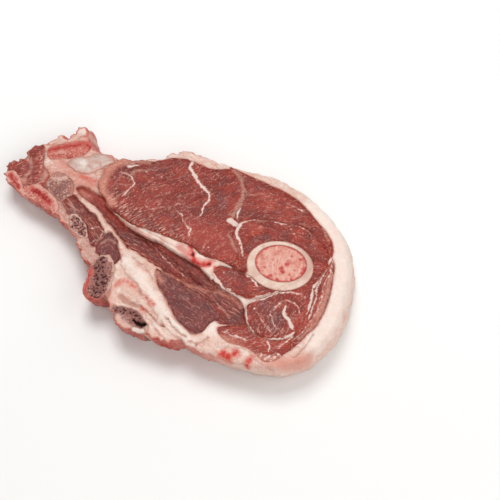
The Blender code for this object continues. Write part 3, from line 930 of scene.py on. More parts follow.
# %% Fat finish
def firm_fat(name, cream, milk, pink, stain, pinkness=0.5):
    material, tree, place, fibre = new_finish(name)
    clouds = pattern(tree, place, 9.0, detail=5.0, rough=0.6)
    patches = pattern(tree, place, 3.0, detail=4.0, rough=0.65)
    strands = pattern(tree, fibre, 1.3, stretch=4.5, detail=4.0, rough=0.65)
    crumbs = pattern(tree, place, 0.7, detail=3.0, rough=0.7)
    edge = pattern(tree, place, 1.3, detail=4.0, rough=0.7)
    colour = tinted(tree, cream, milk, patches, 0.48, 0.66, 0.9)
    colour = tinted(tree, colour, pink, clouds, 0.50, 0.70, pinkness)
    colour = tinted(tree, colour, pink, strands, 0.53, 0.68, pinkness)
    colour = tinted(tree, colour, pink, crumbs, 0.52, 0.68, pinkness)
    # the films between lobes show as thin pink lines
    films = winding_lines(tree, fibre, 3.6, 2.0, 0.6)
    colour = tinted(tree, colour, pink, films, 0.022, 0.004, pinkness)
    chalk = frayed(tree, "chalk", clouds, 3.0)
    colour = tinted(tree, colour, "f1e2d8", chalk, 2.4, -2.0, 0.7)
    pale = frayed(tree, frayed(tree, "pale", clouds, 6.0), edge, 3.0)
    colour = tinted(tree, colour, "d58f7e", pale, 2.6, -2.4, 0.75)
    # in fat the same field is a real red-pink stain of torn muscle, not shade
    shade_and_red_stain = frayed(tree, frayed(tree, "shade_and_red_stain", clouds, 5.0), edge, 3.0)
    colour = tinted(tree, colour, "b4695c", shade_and_red_stain, 1.8, -1.8, 0.7)
    # painted shade in the folds cut into the fat
    dusk = frayed(tree, "dusk", edge, 1.8)
    colour = tinted(tree, colour, "b27a6b", dusk, 0.8, -0.6, 0.75)
    seam = frayed(tree, "seam", edge, 2.0)
    colour = tinted(tree, colour, pink, seam, 1.1, 0.0, 0.6)
    white = frayed(tree, "white", edge, 0.8)
    colour = tinted(tree, colour, "f3e6db", white, 0.4, -0.3, 0.85)
    blood = frayed(tree, frayed(tree, "blood", edge, 2.6), crumbs, 1.6)
    colour = tinted(tree, colour, "d06555", blood, 2.2, 0.0, 0.8)
    colour = tinted(tree, colour, stain, blood, 0.6, -0.7, 0.92)
    side = frayed(tree, frayed(tree, "side", clouds, -1.2), edge, -0.8)
    colour = tinted(tree, colour, "cb7666", side, 0.2, 0.75, 0.8)
    colour = tinted(tree, colour, "a92c24", side, 0.65, 1.15, 0.85)
    # painted shade: dark red-brown slits and small holes cut into the fat
    dark = frayed(tree, "dark", edge, 0.9)
    colour = tinted(tree, colour, "b06858", dark, 0.8, 0.0, 0.6)
    colour = tinted(tree, colour, "6e2a24", dark, 0.1, -0.3, 0.85)
    close_finish(tree, colour, patches, (0.40, 0.56), crumbs, 0.25, glow=0.22, wet=0.12)
    return material


outer_fat = firm_fat("firm_outer_fat", "dfc2b4", "ead6ca", "cf8f7d", "bf1f17", pinkness=0.6)
spine_fat_finish = firm_fat("spine_fat", "d6b3a4", "e9d6ca", "c47565", "c0281f", pinkness=0.75)
rib_fat_finish = firm_fat("torn_rib_fat", "c79c8e", "ddc0b3", "a9675b", "8e1f1c", pinkness=0.7)
print("fat finishes:", outer_fat.name, spine_fat_finish.name, rib_fat_finish.name)

# %% [markdown]
# ## Tendon and membrane
# Tendon is tight bundles of collagen. It is whiter and silkier than fat, with fine lines along its
# length, and it takes up blood where a vessel was cut. The lines are 0.2 mm wide on the real thing
# and drawn 0.8 mm wide. Silky and moist means a lower roughness and more of the wet coat.


# %% Tendon finish
def silvery_tendon(name):
    material, tree, place, fibre = new_finish(name)
    clouds = pattern(tree, place, 4.0, detail=3.0)
    lines = pattern(tree, fibre, 0.8, stretch=9.0, detail=3.0, rough=0.6)
    edge = pattern(tree, place, 0.9, detail=3.0, rough=0.65)
    colour = tinted(tree, "dfc3b5", "c98f80", clouds, 0.50, 0.72, 0.7)
    colour = tinted(tree, colour, "efe0d5", lines, 0.52, 0.70, 0.7)
    colour = tinted(tree, colour, "b97a6c", lines, 0.46, 0.28, 0.6)
    pale = frayed(tree, "pale", clouds, 3.0)
    colour = tinted(tree, colour, "c9695d", pale, 1.6, -1.2, 0.75)
    blood = frayed(tree, "blood", edge, 1.5)
    colour = tinted(tree, colour, "cf5145", blood, 1.6, 0.2, 0.8)
    colour = tinted(tree, colour, "b8171a", blood, 0.6, -0.3, 0.92)
    # painted shade in the thin grooves cut into the tendon
    dusk = frayed(tree, "dusk", edge, 1.0)
    colour = tinted(tree, colour, "9b6a62", dusk, 0.6, -0.4, 0.7)
    colour = tinted(tree, colour, "f0e4da", "white", 0.4, -0.2, 0.85)
    # painted shade in the small holes cut into the tendon
    dark = frayed(tree, "dark", edge, 0.4)
    colour = tinted(tree, colour, "3a1414", dark, 0.3, -0.1, 0.9)
    close_finish(tree, colour, clouds, (0.32, 0.48), lines, 0.12, glow=0.2, wet=0.3)
    return material


tendon_finish = silvery_tendon("silvery_tendon")
print("tendon finish:", tendon_finish.name)

# %% [markdown]
# ## Compact bone
# The wall of the arm bone is compact bone. Sawn, it is smooth, dense and cream coloured, with faint
# saw lines and a thin brown-pink skin round the outside. Light goes less than a millimetre in, so it
# gets only a little of the soft glow.


# %% Compact bone finish
def sawn_bone(name):
    material, tree, place, fibre = new_finish(name)
    clouds = pattern(tree, place, 5.0, detail=3.0)
    saw_lines = pattern(tree, fibre, 0.5, stretch=12.0, detail=1.0)
    edge = pattern(tree, place, 0.9, detail=2.0)
    colour = tinted(tree, "d9bdac", "c99f8e", clouds, 0.44, 0.68, 0.8)
    colour = tinted(tree, colour, "e6d3c5", saw_lines, 0.50, 0.70, 0.5)
    pale = frayed(tree, "pale", clouds, 3.0)
    colour = tinted(tree, colour, "bb8574", pale, 1.5, -1.5, 0.6)
    seam = frayed(tree, "seam", edge, 0.5)
    colour = tinted(tree, colour, "b98277", seam, 0.6, 0.1, 0.75)
    blood = frayed(tree, "blood", edge, 1.0)
    colour = tinted(tree, colour, "b0443e", blood, 0.5, -0.3, 0.7)
    close_finish(tree, colour, clouds, (0.42, 0.55), saw_lines, 0.05, glow=0.12, wet=0.15)
    return material


bone_finish = sawn_bone("sawn_compact_bone")
print("compact bone finish:", bone_finish.name)

# %% [markdown]
# ## Spongy bone
# Ribs, spine and breast bone are spongy bone under a thin shell: a grey-pink lattice whose pores,
# 0.5 to 1 mm wide, are filled with dark red marrow. The pores are hollows in the mesh, and the same
# field darkens them. How much blood the saw smeared over the bone differs from one to the next, so
# the colours are given to the function.


# %% Spongy bone finishes
def spongy_bone(name, bone, deep, bright, hollow, rim="d3aa9b", fray=2.4, dots_share=0.8):
    material, tree, place, fibre = new_finish(name)
    clouds = pattern(tree, place, 4.5, detail=4.0, rough=0.6)
    fine = pattern(tree, place, 0.85, detail=3.0, rough=0.65)
    edge = pattern(tree, place, 1.4, detail=4.0, rough=0.7)
    colour = tinted(tree, bone, deep, clouds, 0.42, 0.64, 0.8)
    colour = tinted(tree, colour, bright, fine, 0.52, 0.66, 0.75)
    colour = tinted(tree, colour, hollow, fine, 0.47, 0.35, dots_share)
    seam = frayed(tree, frayed(tree, "seam", edge, fray), clouds, 1.6 * fray)
    colour = tinted(tree, colour, rim, seam, 1.6, 0.3, 0.85)
    pale = frayed(tree, frayed(tree, "pale", clouds, 4.0), edge, 2.0)
    colour = tinted(tree, colour, "dcb3a4", pale, 1.6, -1.2, 0.85)
    dusk = frayed(tree, "dusk", clouds, 2.5)
    colour = tinted(tree, colour, "7a4742", dusk, 1.3, -1.0, 0.65)
    colour = tinted(tree, colour, hollow, "pore", 0.15, 0.7, 0.92)
    side = frayed(tree, frayed(tree, "side", clouds, -1.0), edge, -0.8)
    colour = tinted(tree, colour, "c47466", side, 0.2, 0.8, 0.8)
    colour = tinted(tree, colour, "a93a33", side, 0.75, 1.2, 0.8)
    blood = frayed(tree, frayed(tree, "blood", edge, 3.0), clouds, 2.5)
    colour = tinted(tree, colour, "c05a4e", blood, 1.5, -0.2, 0.8)
    colour = tinted(tree, colour, "a3201d", blood, 0.2, -1.0, 0.85)
    white = frayed(tree, "white", edge, 0.8)
    colour = tinted(tree, colour, "e6d5ca", white, 0.4, -0.2, 0.85)
    # painted shade: the black hole of the breast bone, cut deep into the mesh
    dark = frayed(tree, "dark", edge, 0.8)
    colour = tinted(tree, colour, "220b0c", dark, 0.4, -0.2, 0.95)
    close_finish(tree, colour, fine, (0.42, 0.60), fine, 0.35, glow=0.08, wet=0.12)
    return material


sponge_finish = spongy_bone("sawn_spongy_bone", "9c6459", "7a4640", "cca396", "42191c", fray=3.2)
stained_finish = spongy_bone("blood_stained_bone", "c9877a", "b5493d", "e3beb0", "93231c",
                             rim="d79f8f", fray=4.5)
bloody_finish = spongy_bone("bloody_spine_bone", "c46c5c", "a63327", "dfb1a3", "8b1d17",
                            rim="c87868", fray=8.0)
crumbly_finish = spongy_bone("crumbly_brown_bone", "a0665a", "7e463d", "e0c2b5", "6a332d",
                             rim="b98476", fray=6.0, dots_share=0.4)
for finish in (sponge_finish, stained_finish, bloody_finish, crumbly_finish):
    print(finish.name, "has", len(finish.node_tree.nodes), "nodes")

# %% [markdown]
# ## Marrow
# The marrow of the arm bone is soft fat full of fine vessels. It is pink, and darker red where it
# meets the bone. It stays wet, so it gets a low roughness and more of the wet coat.


# %% Marrow finish
def soft_marrow(name):
    material, tree, place, fibre = new_finish(name)
    clouds = pattern(tree, place, 3.2, detail=3.0)
    strands = pattern(tree, fibre, 0.8, stretch=3.5, detail=3.0, rough=0.65)
    edge = pattern(tree, place, 1.2, detail=3.0, rough=0.6)
    colour = tinted(tree, "d49583", "c0604f", clouds, 0.46, 0.68, 0.75)
    colour = tinted(tree, colour, "e6baa8", strands, 0.54, 0.70, 0.75)
    colour = tinted(tree, colour, "b23a30", strands, 0.45, 0.30, 0.7)
    seam = frayed(tree, frayed(tree, "seam", edge, 3.4), clouds, 2.0)
    colour = tinted(tree, colour, "b82a20", seam, 1.3, 0.2, 0.9)
    blood = frayed(tree, "blood", edge, 1.4)
    colour = tinted(tree, colour, "b5160f", blood, 0.9, -0.3, 0.92)
    close_finish(tree, colour, clouds, (0.34, 0.5), strands, 0.18, glow=0.25, wet=0.3)
    return material


marrow_finish = soft_marrow("bone_marrow_fat")
print("marrow finish:", marrow_finish.name)

# %% [markdown]
# ## Cartilage
# Cartilage is a stiff gel: bluish white, half clear and very smooth, without fibres or pores. Only
# slow changes of tone and a pink rim are needed. Light soaks in as deep as in the marrow.


# %% Cartilage finish
def pale_gristle(name):
    material, tree, place, fibre = new_finish(name)
    clouds = pattern(tree, place, 4.5, detail=3.0)
    edge = pattern(tree, place, 1.4, detail=3.0)
    colour = tinted(tree, "c3aa9f", "b4877a", clouds, 0.48, 0.70, 0.8)
    colour = tinted(tree, colour, "ddd0c8", clouds, 0.47, 0.30, 0.8)
    seam = frayed(tree, frayed(tree, "seam", edge, 2.0), clouds, 3.0)
    colour = tinted(tree, colour, "c98f7f", seam, 1.8, 0.2, 0.75)
    # painted shade in the shallow crease cut into the cartilage
    dusk = frayed(tree, "dusk", edge, 1.2)
    colour = tinted(tree, colour, "c98a7c", dusk, 0.8, -0.4, 0.6)
    close_finish(tree, colour, clouds, (0.3, 0.45), edge, 0.12, glow=0.25, wet=0.35)
    return material


gristle_finish = pale_gristle("pale_cartilage")
print("cartilage finish:", gristle_finish.name)

# %% [markdown]
# ## The eye muscle
# The largest muscle of the chop. A white vein of fat crosses it from the top, a thinner one rises
# from the tendon below, and a star of fine seams lies at its left. Its left rim is a paler salmon
# band, and a silvery skin closes it on the right. Each mark gives its kind, half its width in mm
# (two values taper it), the depth of its cut, and its guide points; a width below zero leaves only
# the broken middle of a line.

# %% Eye muscle
make_piece(
    "eye_muscle", eye_meat, grain=36.0, radius=1.8,
    marks=[
        ("white", (0.75, 0.35), 0.0, [(45, 60.5), (44, 57.5), (46, 53.5), (47.5, 49.5), (50, 46.5),
                                      (52, 44), (53.5, 40.5), (52.5, 37.5), (50.5, 33.5),
                                      (49, 30.5)]),
        ("white", (0.0, 0.35), 0.0, [(38.5, 33.5), (40.5, 30.5), (42, 27), (44.5, 23.5), (44, 19.5)]),
        ("white", 1.1, -0.3, [(63, 27.8), (65, 26.8), (66.5, 25.2)]),
        ("film", 0.35, 0.0, [(62.5, 19.5), (65, 15), (66.5, 11.5)]),
        ("film", (0.2, 0.7), 0.0, [(9.5, 63), (13, 64), (19, 63.8), (26.5, 63.2), (33.5, 64),
                                   (40.5, 64)]),
        ("white", (-0.3, 0.3), 0.0, [(9.5, 63), (13, 64), (19, 63.8), (26.5, 63.2), (33.5, 64),
                                     (40.5, 64)]),
        ("white", (0.15, 0.25), 0.0, [(11.5, 55.5), (15.5, 53), (17, 49.5), (16.5, 47), (14.5, 45),
                                      (13, 42.5)]),
        ("white", (-0.1, -0.25), 0.0, [(13, 42.5), (15.5, 46), (19.5, 46.5)]),
        ("white", (-0.25, 0.0), 0.0, [(9, 52), (13, 52), (16, 51)]),
        ("film", 0.0, 0.0, [(10.5, 48.5), (13.5, 48), (16, 48)]),
        ("film", (0.4, 0.0), 0.0, [(15.5, 53), (18, 55.5), (23.5, 56), (28, 56.5)]),
        ("white", (0.7, 0.2), 0.0, [(14.5, 58.5), (16.5, 59), (19, 58.5)]),
        ("film", 0.6, 0.0, [(13, 60), (18, 61), (24, 60.5)]),
        ("white", (0.05, -0.1), 0.0, [(23.5, 36), (26, 34), (28.5, 35), (32, 35), (35.5, 35)]),
        ("white", -0.15, 0.0, [(41, 33.5), (43.5, 34.5), (47, 35.5)]),
        ("white", -0.15, 0.0, [(38.5, 41), (42, 42), (46, 43)]),
        ("white", -0.15, 0.0, [(30, 56), (34, 58), (38, 59)]),
        ("film", (0.5, 1.0), 0.0, [(64.5, 56), (67.5, 52.5), (69, 48.5), (69.5, 44), (68.5, 39),
                                     (67, 34.5), (64.5, 30.5)]),
        # painted shade: a near-black slit at the lower left, cut into the mesh
        ("dark", 0.35, 1.2, [(9.5, 31.5), (12, 29), (15.5, 26.5)]),
        ("pale", 2.4, 0.0, [(13, 62.5), (7, 59.5), (3, 54.5), (1.5, 49), (2.5, 43.5), (6, 38.5)]),
        ("fresh", 6.0, 0.0, [(47, 23), (52, 18), (58, 17), (60, 11)]),
        ("fresh", 1.0, 0.0, [(6, 51), (9, 47.5), (10, 53.5)]),
        ("chalk", 4.5, 0.0, [(9, 42), (13, 35), (21, 30), (30, 25), (39, 20)]),
        ("chalk", 1.5, 0.0, [(22, 37), (30, 36), (38, 37)]),
        ("chalk", 0.6, 0.0, [(13, 61), (7, 58), (3.5, 53), (2, 48), (4, 42)]),
        ("shade_and_red_stain", 0.5, 0.0, [(14, 58), (9, 54), (8, 49), (10, 44)]),
        ("dusk", 1.8, 0.0, [(59.5, 36), (60, 39)]),
        *dots("white", 0.25, 0.0, [(36, 48), (23, 55), (30.5, 52), (26, 52), (51, 13.5),
                                   (54, 13), (57.5, 22), (45, 30.5)]),
    ],
)

# %% [markdown]
# ## The outer muscle
# It fills the space between the eye muscle and the outer fat, and wraps the arm bone from above. A
# knot of fat sits where it meets the eye muscle and the crescent, and broken white hairs run down
# from its upper rim.

# %% Outer muscle
make_piece(
    "outer_muscle", lean_meat, grain=12.0, radius=2.0,
    marks=[
        ("white", (-0.15, 0.15), 0.0, [(24.5, 32.5), (26.5, 31.5), (29, 28.5), (31.5, 27),
                                       (35.5, 25)]),
        ("white", -0.2, 0.0, [(16.5, 32.5), (17.5, 30.5), (19, 28.5)]),
        ("white", -0.2, 0.0, [(13.5, 40), (15, 38), (17, 35.5)]),
        ("film", 0.0, 0.0, [(8.5, 34), (12, 34.5), (15.5, 35)]),
        ("white", -0.1, 0.0, [(40.5, 18), (42.5, 15.5), (45, 12)]),
        ("dusk", 1.6, 0.0, [(8, 42), (7.5, 36.5), (6, 30), (5, 25.5)]),
        ("white", (1.6, 0.3), 0.0, [(2.5, 22.5), (3.5, 24.5), (5.5, 28.5)]),
        ("film", 0.2, 0.0, [(46.5, 9), (44.5, 15.5), (41, 23), (35.5, 30)]),
        *dots("white", 0.25, 0.0, [(20, 35.5), (22.5, 31.5), (29, 16), (13.5, 28)]),
    ],
)

# %% [markdown]
# ## The muscles that touch the bone
# The crescent lies on the upper side of the bone under a white membrane, and a small muscle lies
# under the bone, with a membrane all along its lower side. Their fibres run different ways, which
# is why each piece has its own angle of grain.

# %% Crescent and under-bone muscles
make_piece(
    "crescent_muscle", lean_meat, grain=-20.0,
    marks=[
        ("white", (1.1, 0.6), 0.0, [(0.5, 30), (2, 33), (5.5, 35), (8.5, 35.5), (12, 35)]),
        ("white", 0.45, 0.0, [(18.5, 34), (23, 32.5), (26, 33), (29.5, 31.5), (32.5, 30), (35, 29)]),
        ("white", (0.7, 0.1), 0.0, [(0.5, 30), (0.5, 28), (2, 23.5), (2.5, 19.5), (3.5, 15.5)]),
        ("white", 1.6, 0.0, [(-1, 34), (0.5, 32.5), (0, 30)]),
        # painted shade: a dark slit and a darkened hollow, both cut into the mesh
        ("dark", 0.2, 0.3, [(35, 29), (37.5, 26), (40.5, 22), (42.5, 19)]),
        ("dusk", 1.6, 0.5, [(4.5, 19), (7.5, 23), (10, 25), (14, 25.5)]),
        ("blood", -0.5, 0.0, [(8, 23.5), (10.5, 24.8), (13, 26), (17, 26.5)]),
        *dots("white", 0.2, 0.0, [(26, 29.5), (27, 27), (12, 31), (31.5, 27.5)]),
    ],
)
make_piece(
    "under_bone_muscle", lean_meat, grain=5.0,
    marks=[
        ("white", (0.9, 0.4), 0.0, [(-0.5, 14), (2.5, 9.5), (6.5, 4.5), (11, 1.5), (16.5, -0.5),
                                    (22, 1), (27, 2.5)]),
        ("white", (0.7, 0.3), 0.0, [(9, 17.5), (13.5, 16.3), (17, 12.3), (21.5, 6.8)]),
        ("dusk", 1.6, 0.0, [(8, 12), (14, 10)]),
        *dots("white", 0.35, 0.0, [(8, 5), (9, 4.5), (6, 13.5)]),
    ],
)

# %% [markdown]
# ## The oval muscle
# A muscle of its own inside a closed sheath: white all round, thickest on the right, with a curl of
# fat in the middle where the saw met a fold of the sheath.

# %% Oval muscle
make_piece(
    "oval_muscle", lean_meat, grain=62.0,
    marks=[
        ("white", 0.7, 0.0, [(4.5, 20), (1, 18), (0.5, 13.5), (1.5, 7.5), (3.5, 3.5)]),
        ("white", 0.35, 0.0, [(3.5, 3.5), (7.5, 1), (12, 0), (16.5, 0.5), (20.5, 2)]),
        ("white", (0.9, 1.4), 0.0, [(20.5, 2), (24.5, 4.5), (27, 8.5), (29.5, 13), (30.5, 17.5),
                                    (32, 22), (32.5, 25.5)]),
        ("white", 0.3, 0.0, [(4.5, 20), (10, 21.5), (15.5, 23.5), (21, 24), (25, 23)]),
        ("white", (0.5, 0.9), 0.0, [(19, 16.5), (18, 14.5), (18.5, 12), (19.5, 11), (20.5, 8.5),
                                    (21.5, 6.5)]),
        ("white", 0.15, 0.0, [(12, 14), (15, 17), (17.5, 19.5), (21, 19.5), (24, 17), (25.5, 13)]),
        ("white", 0.1, 0.0, [(11.5, 13.5), (12.5, 10.5), (14.5, 6), (16.5, 4.5)]),
        ("white", 0.05, 0.0, [(5.5, 14), (7.5, 11.5), (9, 7.5), (12, 4)]),
        ("dusk", 3.0, 0.0, [(9, 18), (14, 12), (15, 6)]),
        ("chalk", 2.0, 0.0, [(8, 6), (14, 4), (20, 6), (24, 12)]),
        *dots("white", 0.3, 0.0, [(5, 15.5), (14, 2), (17.5, 3), (26, 22.5), (27.5, 21)]),
    ],
)

# %% [markdown]
# ## Lean along the outer fat
# A thin striped muscle follows the fat on the right, made of two layers with a white film between.
# The muscle at the bottom is brighter and breaks up into crumbs of fat at its lower rim.

# %% Side strip and bottom muscles
make_piece(
    "side_strip_muscle", lean_meat, grain=68.0,
    marks=[
        ("white", 0.1, 0.0, [(21, 45), (18.5, 36), (16, 31), (15, 25.5), (13.5, 19), (10, 13),
                             (7.5, 9.5), (1, 3)]),
        ("white", (0.7, 0.4), 0.0, [(11.5, 29.5), (13, 33.5), (16.5, 38.5), (20, 45), (21.5, 49)]),
        ("film", 0.4, 0.0, [(20, 37), (18, 28.5), (16.5, 22.5), (14, 15.5), (11, 10.5), (4, 4)]),
        ("pale", 0.4, 0.0, [(19, 35), (17, 28), (14, 18), (9, 9)]),
        ("white", 0.2, 0.0, [(16.5, 37.5), (13.5, 31), (12.5, 25.5), (11, 19.5), (8.5, 13.5)]),
        ("chalk", 1.5, 0.0, [(18, 36), (14, 22), (8, 11)]),
    ],
)
make_piece(
    "bottom_muscle", lean_meat, grain=15.0,
    marks=[
        ("fresh", 3.0, 0.0, [(8, 10), (18, 9), (28, 9)]),
        ("pale", 0.8, 0.0, [(2, 12), (10, 7), (19, 2), (27, 1)]),
        ("chalk", 2.0, 0.0, [(4, 15), (10, 12), (18, 9), (26, 8)]),
        ("white", (0.1, 0.4), 0.0, [(2.5, 15), (5, 13.5), (8, 12.5), (12, 11)]),
        ("white", 0.25, 0.0, [(22, 10), (23, 7.5), (23, 5)]),
        ("white", 0.2, 0.0, [(27.5, 7), (31, 9.5), (34, 12.5)]),
        *dots("white", 0.45, 0.0, [(19.5, 3), (22, 2), (23.5, 3), (25.5, 2), (27, 3.5), (24, 0.5),
                                   (26, 0.5), (21, 1), (28, 2)]),
        ("white", 0.1, 0.0, [(18.5, 2.5), (21.5, 3), (24.5, 1.5), (27.5, 3)]),
        ("white", 0.0, 0.0, [(22, 0.5), (24.5, 2.5), (26, 4)]),
    ],
)

# %% [markdown]
# ## The long deep muscle
# Below the tendon a long muscle has drawn back and lies lower than the rest, so its upper edge is in
# shadow. Cuts with no tint of their own would look like dents, so the shade goes with them.

# %% Long muscle
make_piece(
    "long_muscle", deep_meat, grain=-36.0,
    marks=[
        ("pale", 0.6, 0.0, [(2.5, 53.5), (6, 50.5)]),
        ("fresh", 3.0, -1.0, [(4, 53), (10, 50), (16, 45.5), (20, 41), (24, 36.5)]),
        ("dark", 0.25, 0.8, [(18.5, 42.5), (22, 39.3), (25.5, 36.3)]),
        ("shade_and_red_stain", 1.4, 1.2, [(27, 34), (36.5, 28.5), (47, 23), (55.5, 18.5), (62.5, 13.5)]),
        ("shade_and_red_stain", 0.9, 0.5, [(30, 29), (40, 21), (50, 12), (57, 5)]),
        ("white", -0.1, 0.0, [(22, 24.5), (26.5, 25), (31, 24)]),
        ("white", (-0.2, 0.1), 0.0, [(27, 30), (36.5, 24.5), (44, 15.5), (53.5, 6)]),
        ("white", -0.2, 0.0, [(34, 22), (40, 15), (47, 8)]),
        ("shade_and_red_stain", 0.1, 0.5, [(42, 12), (46, 9), (53, 7), (60, 3)]),
        ("film", 0.7, 0.0, [(62.5, 13), (65, 10), (68, 5), (72.5, 0)]),
        ("white", 0.1, 0.0, [(63.5, 13), (66, 9.5), (69, 4.5)]),
        ("chalk", 2.2, 0.0, [(8, 42), (15, 33), (24, 25), (34, 17), (42, 9)]),
        ("fresh", 2.0, 0.0, [(30, 33), (38, 27), (45, 20)]),
        ("shade_and_red_stain", -0.2, 0.0, [(24, 30), (34, 21), (45, 12)]),
    ],
)

# %% [markdown]
# ## Breast muscles
# The dusky muscle belongs to the breast: it works more, so it holds more of the dark red protein.
# The flecked strip above it was combed up by the saw, so it has the most chalk.

# %% Dusky and flecked muscles
make_piece("purple_muscle", dusky_meat, grain=-42.0,
           marks=[("film", 0.3, 0.0, [(2.5, 23), (5.5, 17), (8, 10.5), (12.5, 4), (18, 0),
                                      (22.5, 0)]),
                  ("chalk", 1.6, 0.0, [(6, 24), (13, 19), (20, 12), (24, 6)]),
                  ("pale", 0.6, 0.0, [(0, 32), (3, 27.5)]),
                  ("chalk", 1.0, 0.0, [(9, 13), (13, 8), (18, 4)])])
make_piece("flecked_muscle", deep_meat, grain=-38.0,
           marks=[("pale", -0.1, -0.3, [(3, 28), (12, 22.5), (21, 18.5), (30, 16), (38, 10)]),
                  ("chalk", 3.0, 0.0, [(8, 24), (16, 19.5), (24, 14), (31, 8), (36, 6)]),
                  ("white", -0.1, 0.0, [(6, 26), (10, 23), (14, 20.5)]),
                  ("white", -0.1, 0.0, [(24, 15.5), (29, 10), (33, 4)]),
                  ("white", -0.2, 0.0, [(30, 14), (34, 9), (38, 4)])])

# %% [markdown]
# ## Small muscles of the ribs
# Thin muscles fill the gaps between the ribs, and one more sits at the tip. They were torn as much
# as sawn, so pale strands lie across them and their borders are blurred by haze.

# %% Rib and tip muscles
make_piece("rib_gap_muscle", dusky_meat, grain=60.0,
           marks=[("film", 0.2, 0.0, [(2, 11), (5, 13), (8, 12.5), (11, 9)]),
                  ("white", -0.15, 0.0, [(3, 9), (6, 10.5), (9, 7)])])
make_piece(
    "rib_muscle", deep_meat, grain=-50.0,
    marks=[
        ("white", 0.1, 0.0, [(15, 10), (19, 10), (20.5, 6), (17.5, 3), (14, 1.5)]),
        ("film", 0.5, 0.0, [(16, 21), (20.5, 13), (25, 6)]),
        ("film", 0.4, 0.0, [(4, 24), (7, 19), (9, 14)]),
        ("white", -0.1, 0.0, [(3, 26), (6, 22), (8, 16.5), (12, 12)]),
        ("white", -0.15, 0.0, [(7, 23), (11, 18.5), (13, 13), (17, 9)]),
        ("pale", 0.7, 0.0, [(-1, 25), (2, 18), (7, 10), (12, 3)]),
        ("dusk", 2.0, 0.0, [(4, 22), (9, 15)]),
        ("chalk", 3.0, 0.0, [(5, 24), (10, 16), (17, 8)]),
    ],
)
make_piece("tip_muscle", lean_meat, grain=30.0,
           marks=[("chalk", 5.0, 0.0, [(20, 20), (18, 12), (16, 6)]),
                  ("film", (1.6, 0.8), 0.0, [(19, 23), (20, 14), (18, 5)]),
                  ("film", (0.8, 0.3), 0.0, [(9, 20), (12, 13), (9, 6)]),
                  ("chalk", 3.0, 0.0, [(6, 16), (9, 9)]),
                  ("white", -0.1, 0.0, [(15, 22), (17, 16), (16, 11), (17, 6)]),
                  ("pale", 0.8, 0.0, [(3, 8), (9, 4)]),
                  ("dusk", 2.0, 0.0, [(12, 12)])])

# %% [markdown]
# ## The arm bone and its marrow
# The bright ring draws the eye, so it keeps the cleanest edges: almost no seam groove on the ring,
# saw lines across it, and inside it soft marrow with a red rim and a few drops of blood.

# %% Arm bone and marrow
make_piece("arm_bone", bone_finish, relief=bone_relief, grain=25.0, seam_dip=0.25,
           marks=[("pale", 2.5, 0.0, [(27, 8), (29.5, 15), (28, 21)])])
make_piece(
    "bone_marrow", marrow_finish, relief=marrow_relief, grain=80.0, seam_dip=0.3,
    marks=[
        *dots("blood", 0.7, 0.15, [(12.5, 5.5), (12, 7), (6.5, 3), (14.5, 9), (21, 11.5), (22.5, 6.5),
                                   (5.5, 1.5), (21.5, 4.5), (10, 0.7), (16.5, 0.9)]),
        *dots("blood", 0.2, 0.05, [(9, 4), (15.5, 3.5), (18, 6), (8, 12), (17, 13), (4, 8)]),
    ],
)

# %% [markdown]
# ## Ribs
# The saw went through three ribs. The pores are sunk into the mesh with a field that is also handed
# to the finish, so every dark spot is a real hollow. The lowest rib shows its whole lattice, the
# upper one only a red slot between two walls.

# %% Ribs
make_piece(
    "rib_bone_lower", sponge_finish, relief=sponge_relief, seam_dip=0.45, pit=0.65,
    pit_zone=(2.6, [(7, 20.5), (7, 14.5), (8, 10), (7, 4.5), (6, 2.5)]),
    marks=[
        ("dusk", 2.4, 0.0, [(7, 19.5), (7, 14.5), (7.5, 10), (7, 5)]),
        ("blood", 0.5, 0.0, [(2.5, 18.5), (2.5, 13), (1.5, 8), (1.5, 2), (6, -0.5), (10, 0),
                             (11.5, 3)]),
    ],
)
make_piece("rib_bone_middle", sponge_finish, relief=sponge_relief, seam_dip=0.45,
           pit=0.45)
make_piece(
    "rib_bone_upper", stained_finish, relief=sponge_relief, seam_dip=0.45, pit=0.8,
    pit_zone=(0.9, [(6, 12), (8.5, 10.5), (11.5, 7.5), (13, 6)]),
    marks=[("blood", 1.2, 0.0, [(5, 13), (8.5, 10.5), (11.5, 7.5), (13.5, 5)])],
)

# %% [markdown]
# ## Spine and tip
# Next to the spine the bone is crumbly and brown. The sawn spine is smeared with blood, and a bone
# at the tip has a red middle under a pale edge.

# %% Spine and tip bones
make_piece("spongy_bone", crumbly_finish, relief=sponge_relief, seam_dip=0.2,
           marks=[("dusk", 1.5, 0.0, [(4, 4), (8, 8)]), ("pale", 0.8, 0.0, [(4, 12), (9, 13)]),
                  ("blood", -0.4, 0.0, [(11, 4), (13, 8)])])
make_piece(
    "spine_bone", bloody_finish, relief=sponge_relief, seam_dip=0.45,
    marks=[
        ("blood", 0.9, 0.0, [(0.5, 4.5), (7, 6), (12.5, 7), (16.5, 8), (19.5, 7.5), (21.5, 1)]),
        ("pale", 0.2, 0.0, [(9, 9), (14, 10.5), (18, 11)]),
        ("pale", 0.0, 0.0, [(4, 3), (9, 3.5)]),
    ],
)
make_piece(
    "tip_bone", stained_finish, relief=sponge_relief, seam_dip=0.45, pit=0.5,
    pit_zone=(0.8, [(4, 12), (6, 8.5), (8, 5)]),
    marks=[("blood", 0.9, 0.0, [(4, 12), (6, 8.5), (8, 5)]),
           ("pale", 1.6, 0.0, [(1, 13), (3, 8), (6, 3)])],
)

# %% [markdown]
# ## Breast bone
# A knuckle of spongy bone with one large black hole, where a vessel ran, beside a white knob of
# gristle. The hole is cut into the mesh, and its blackness is painted shade.

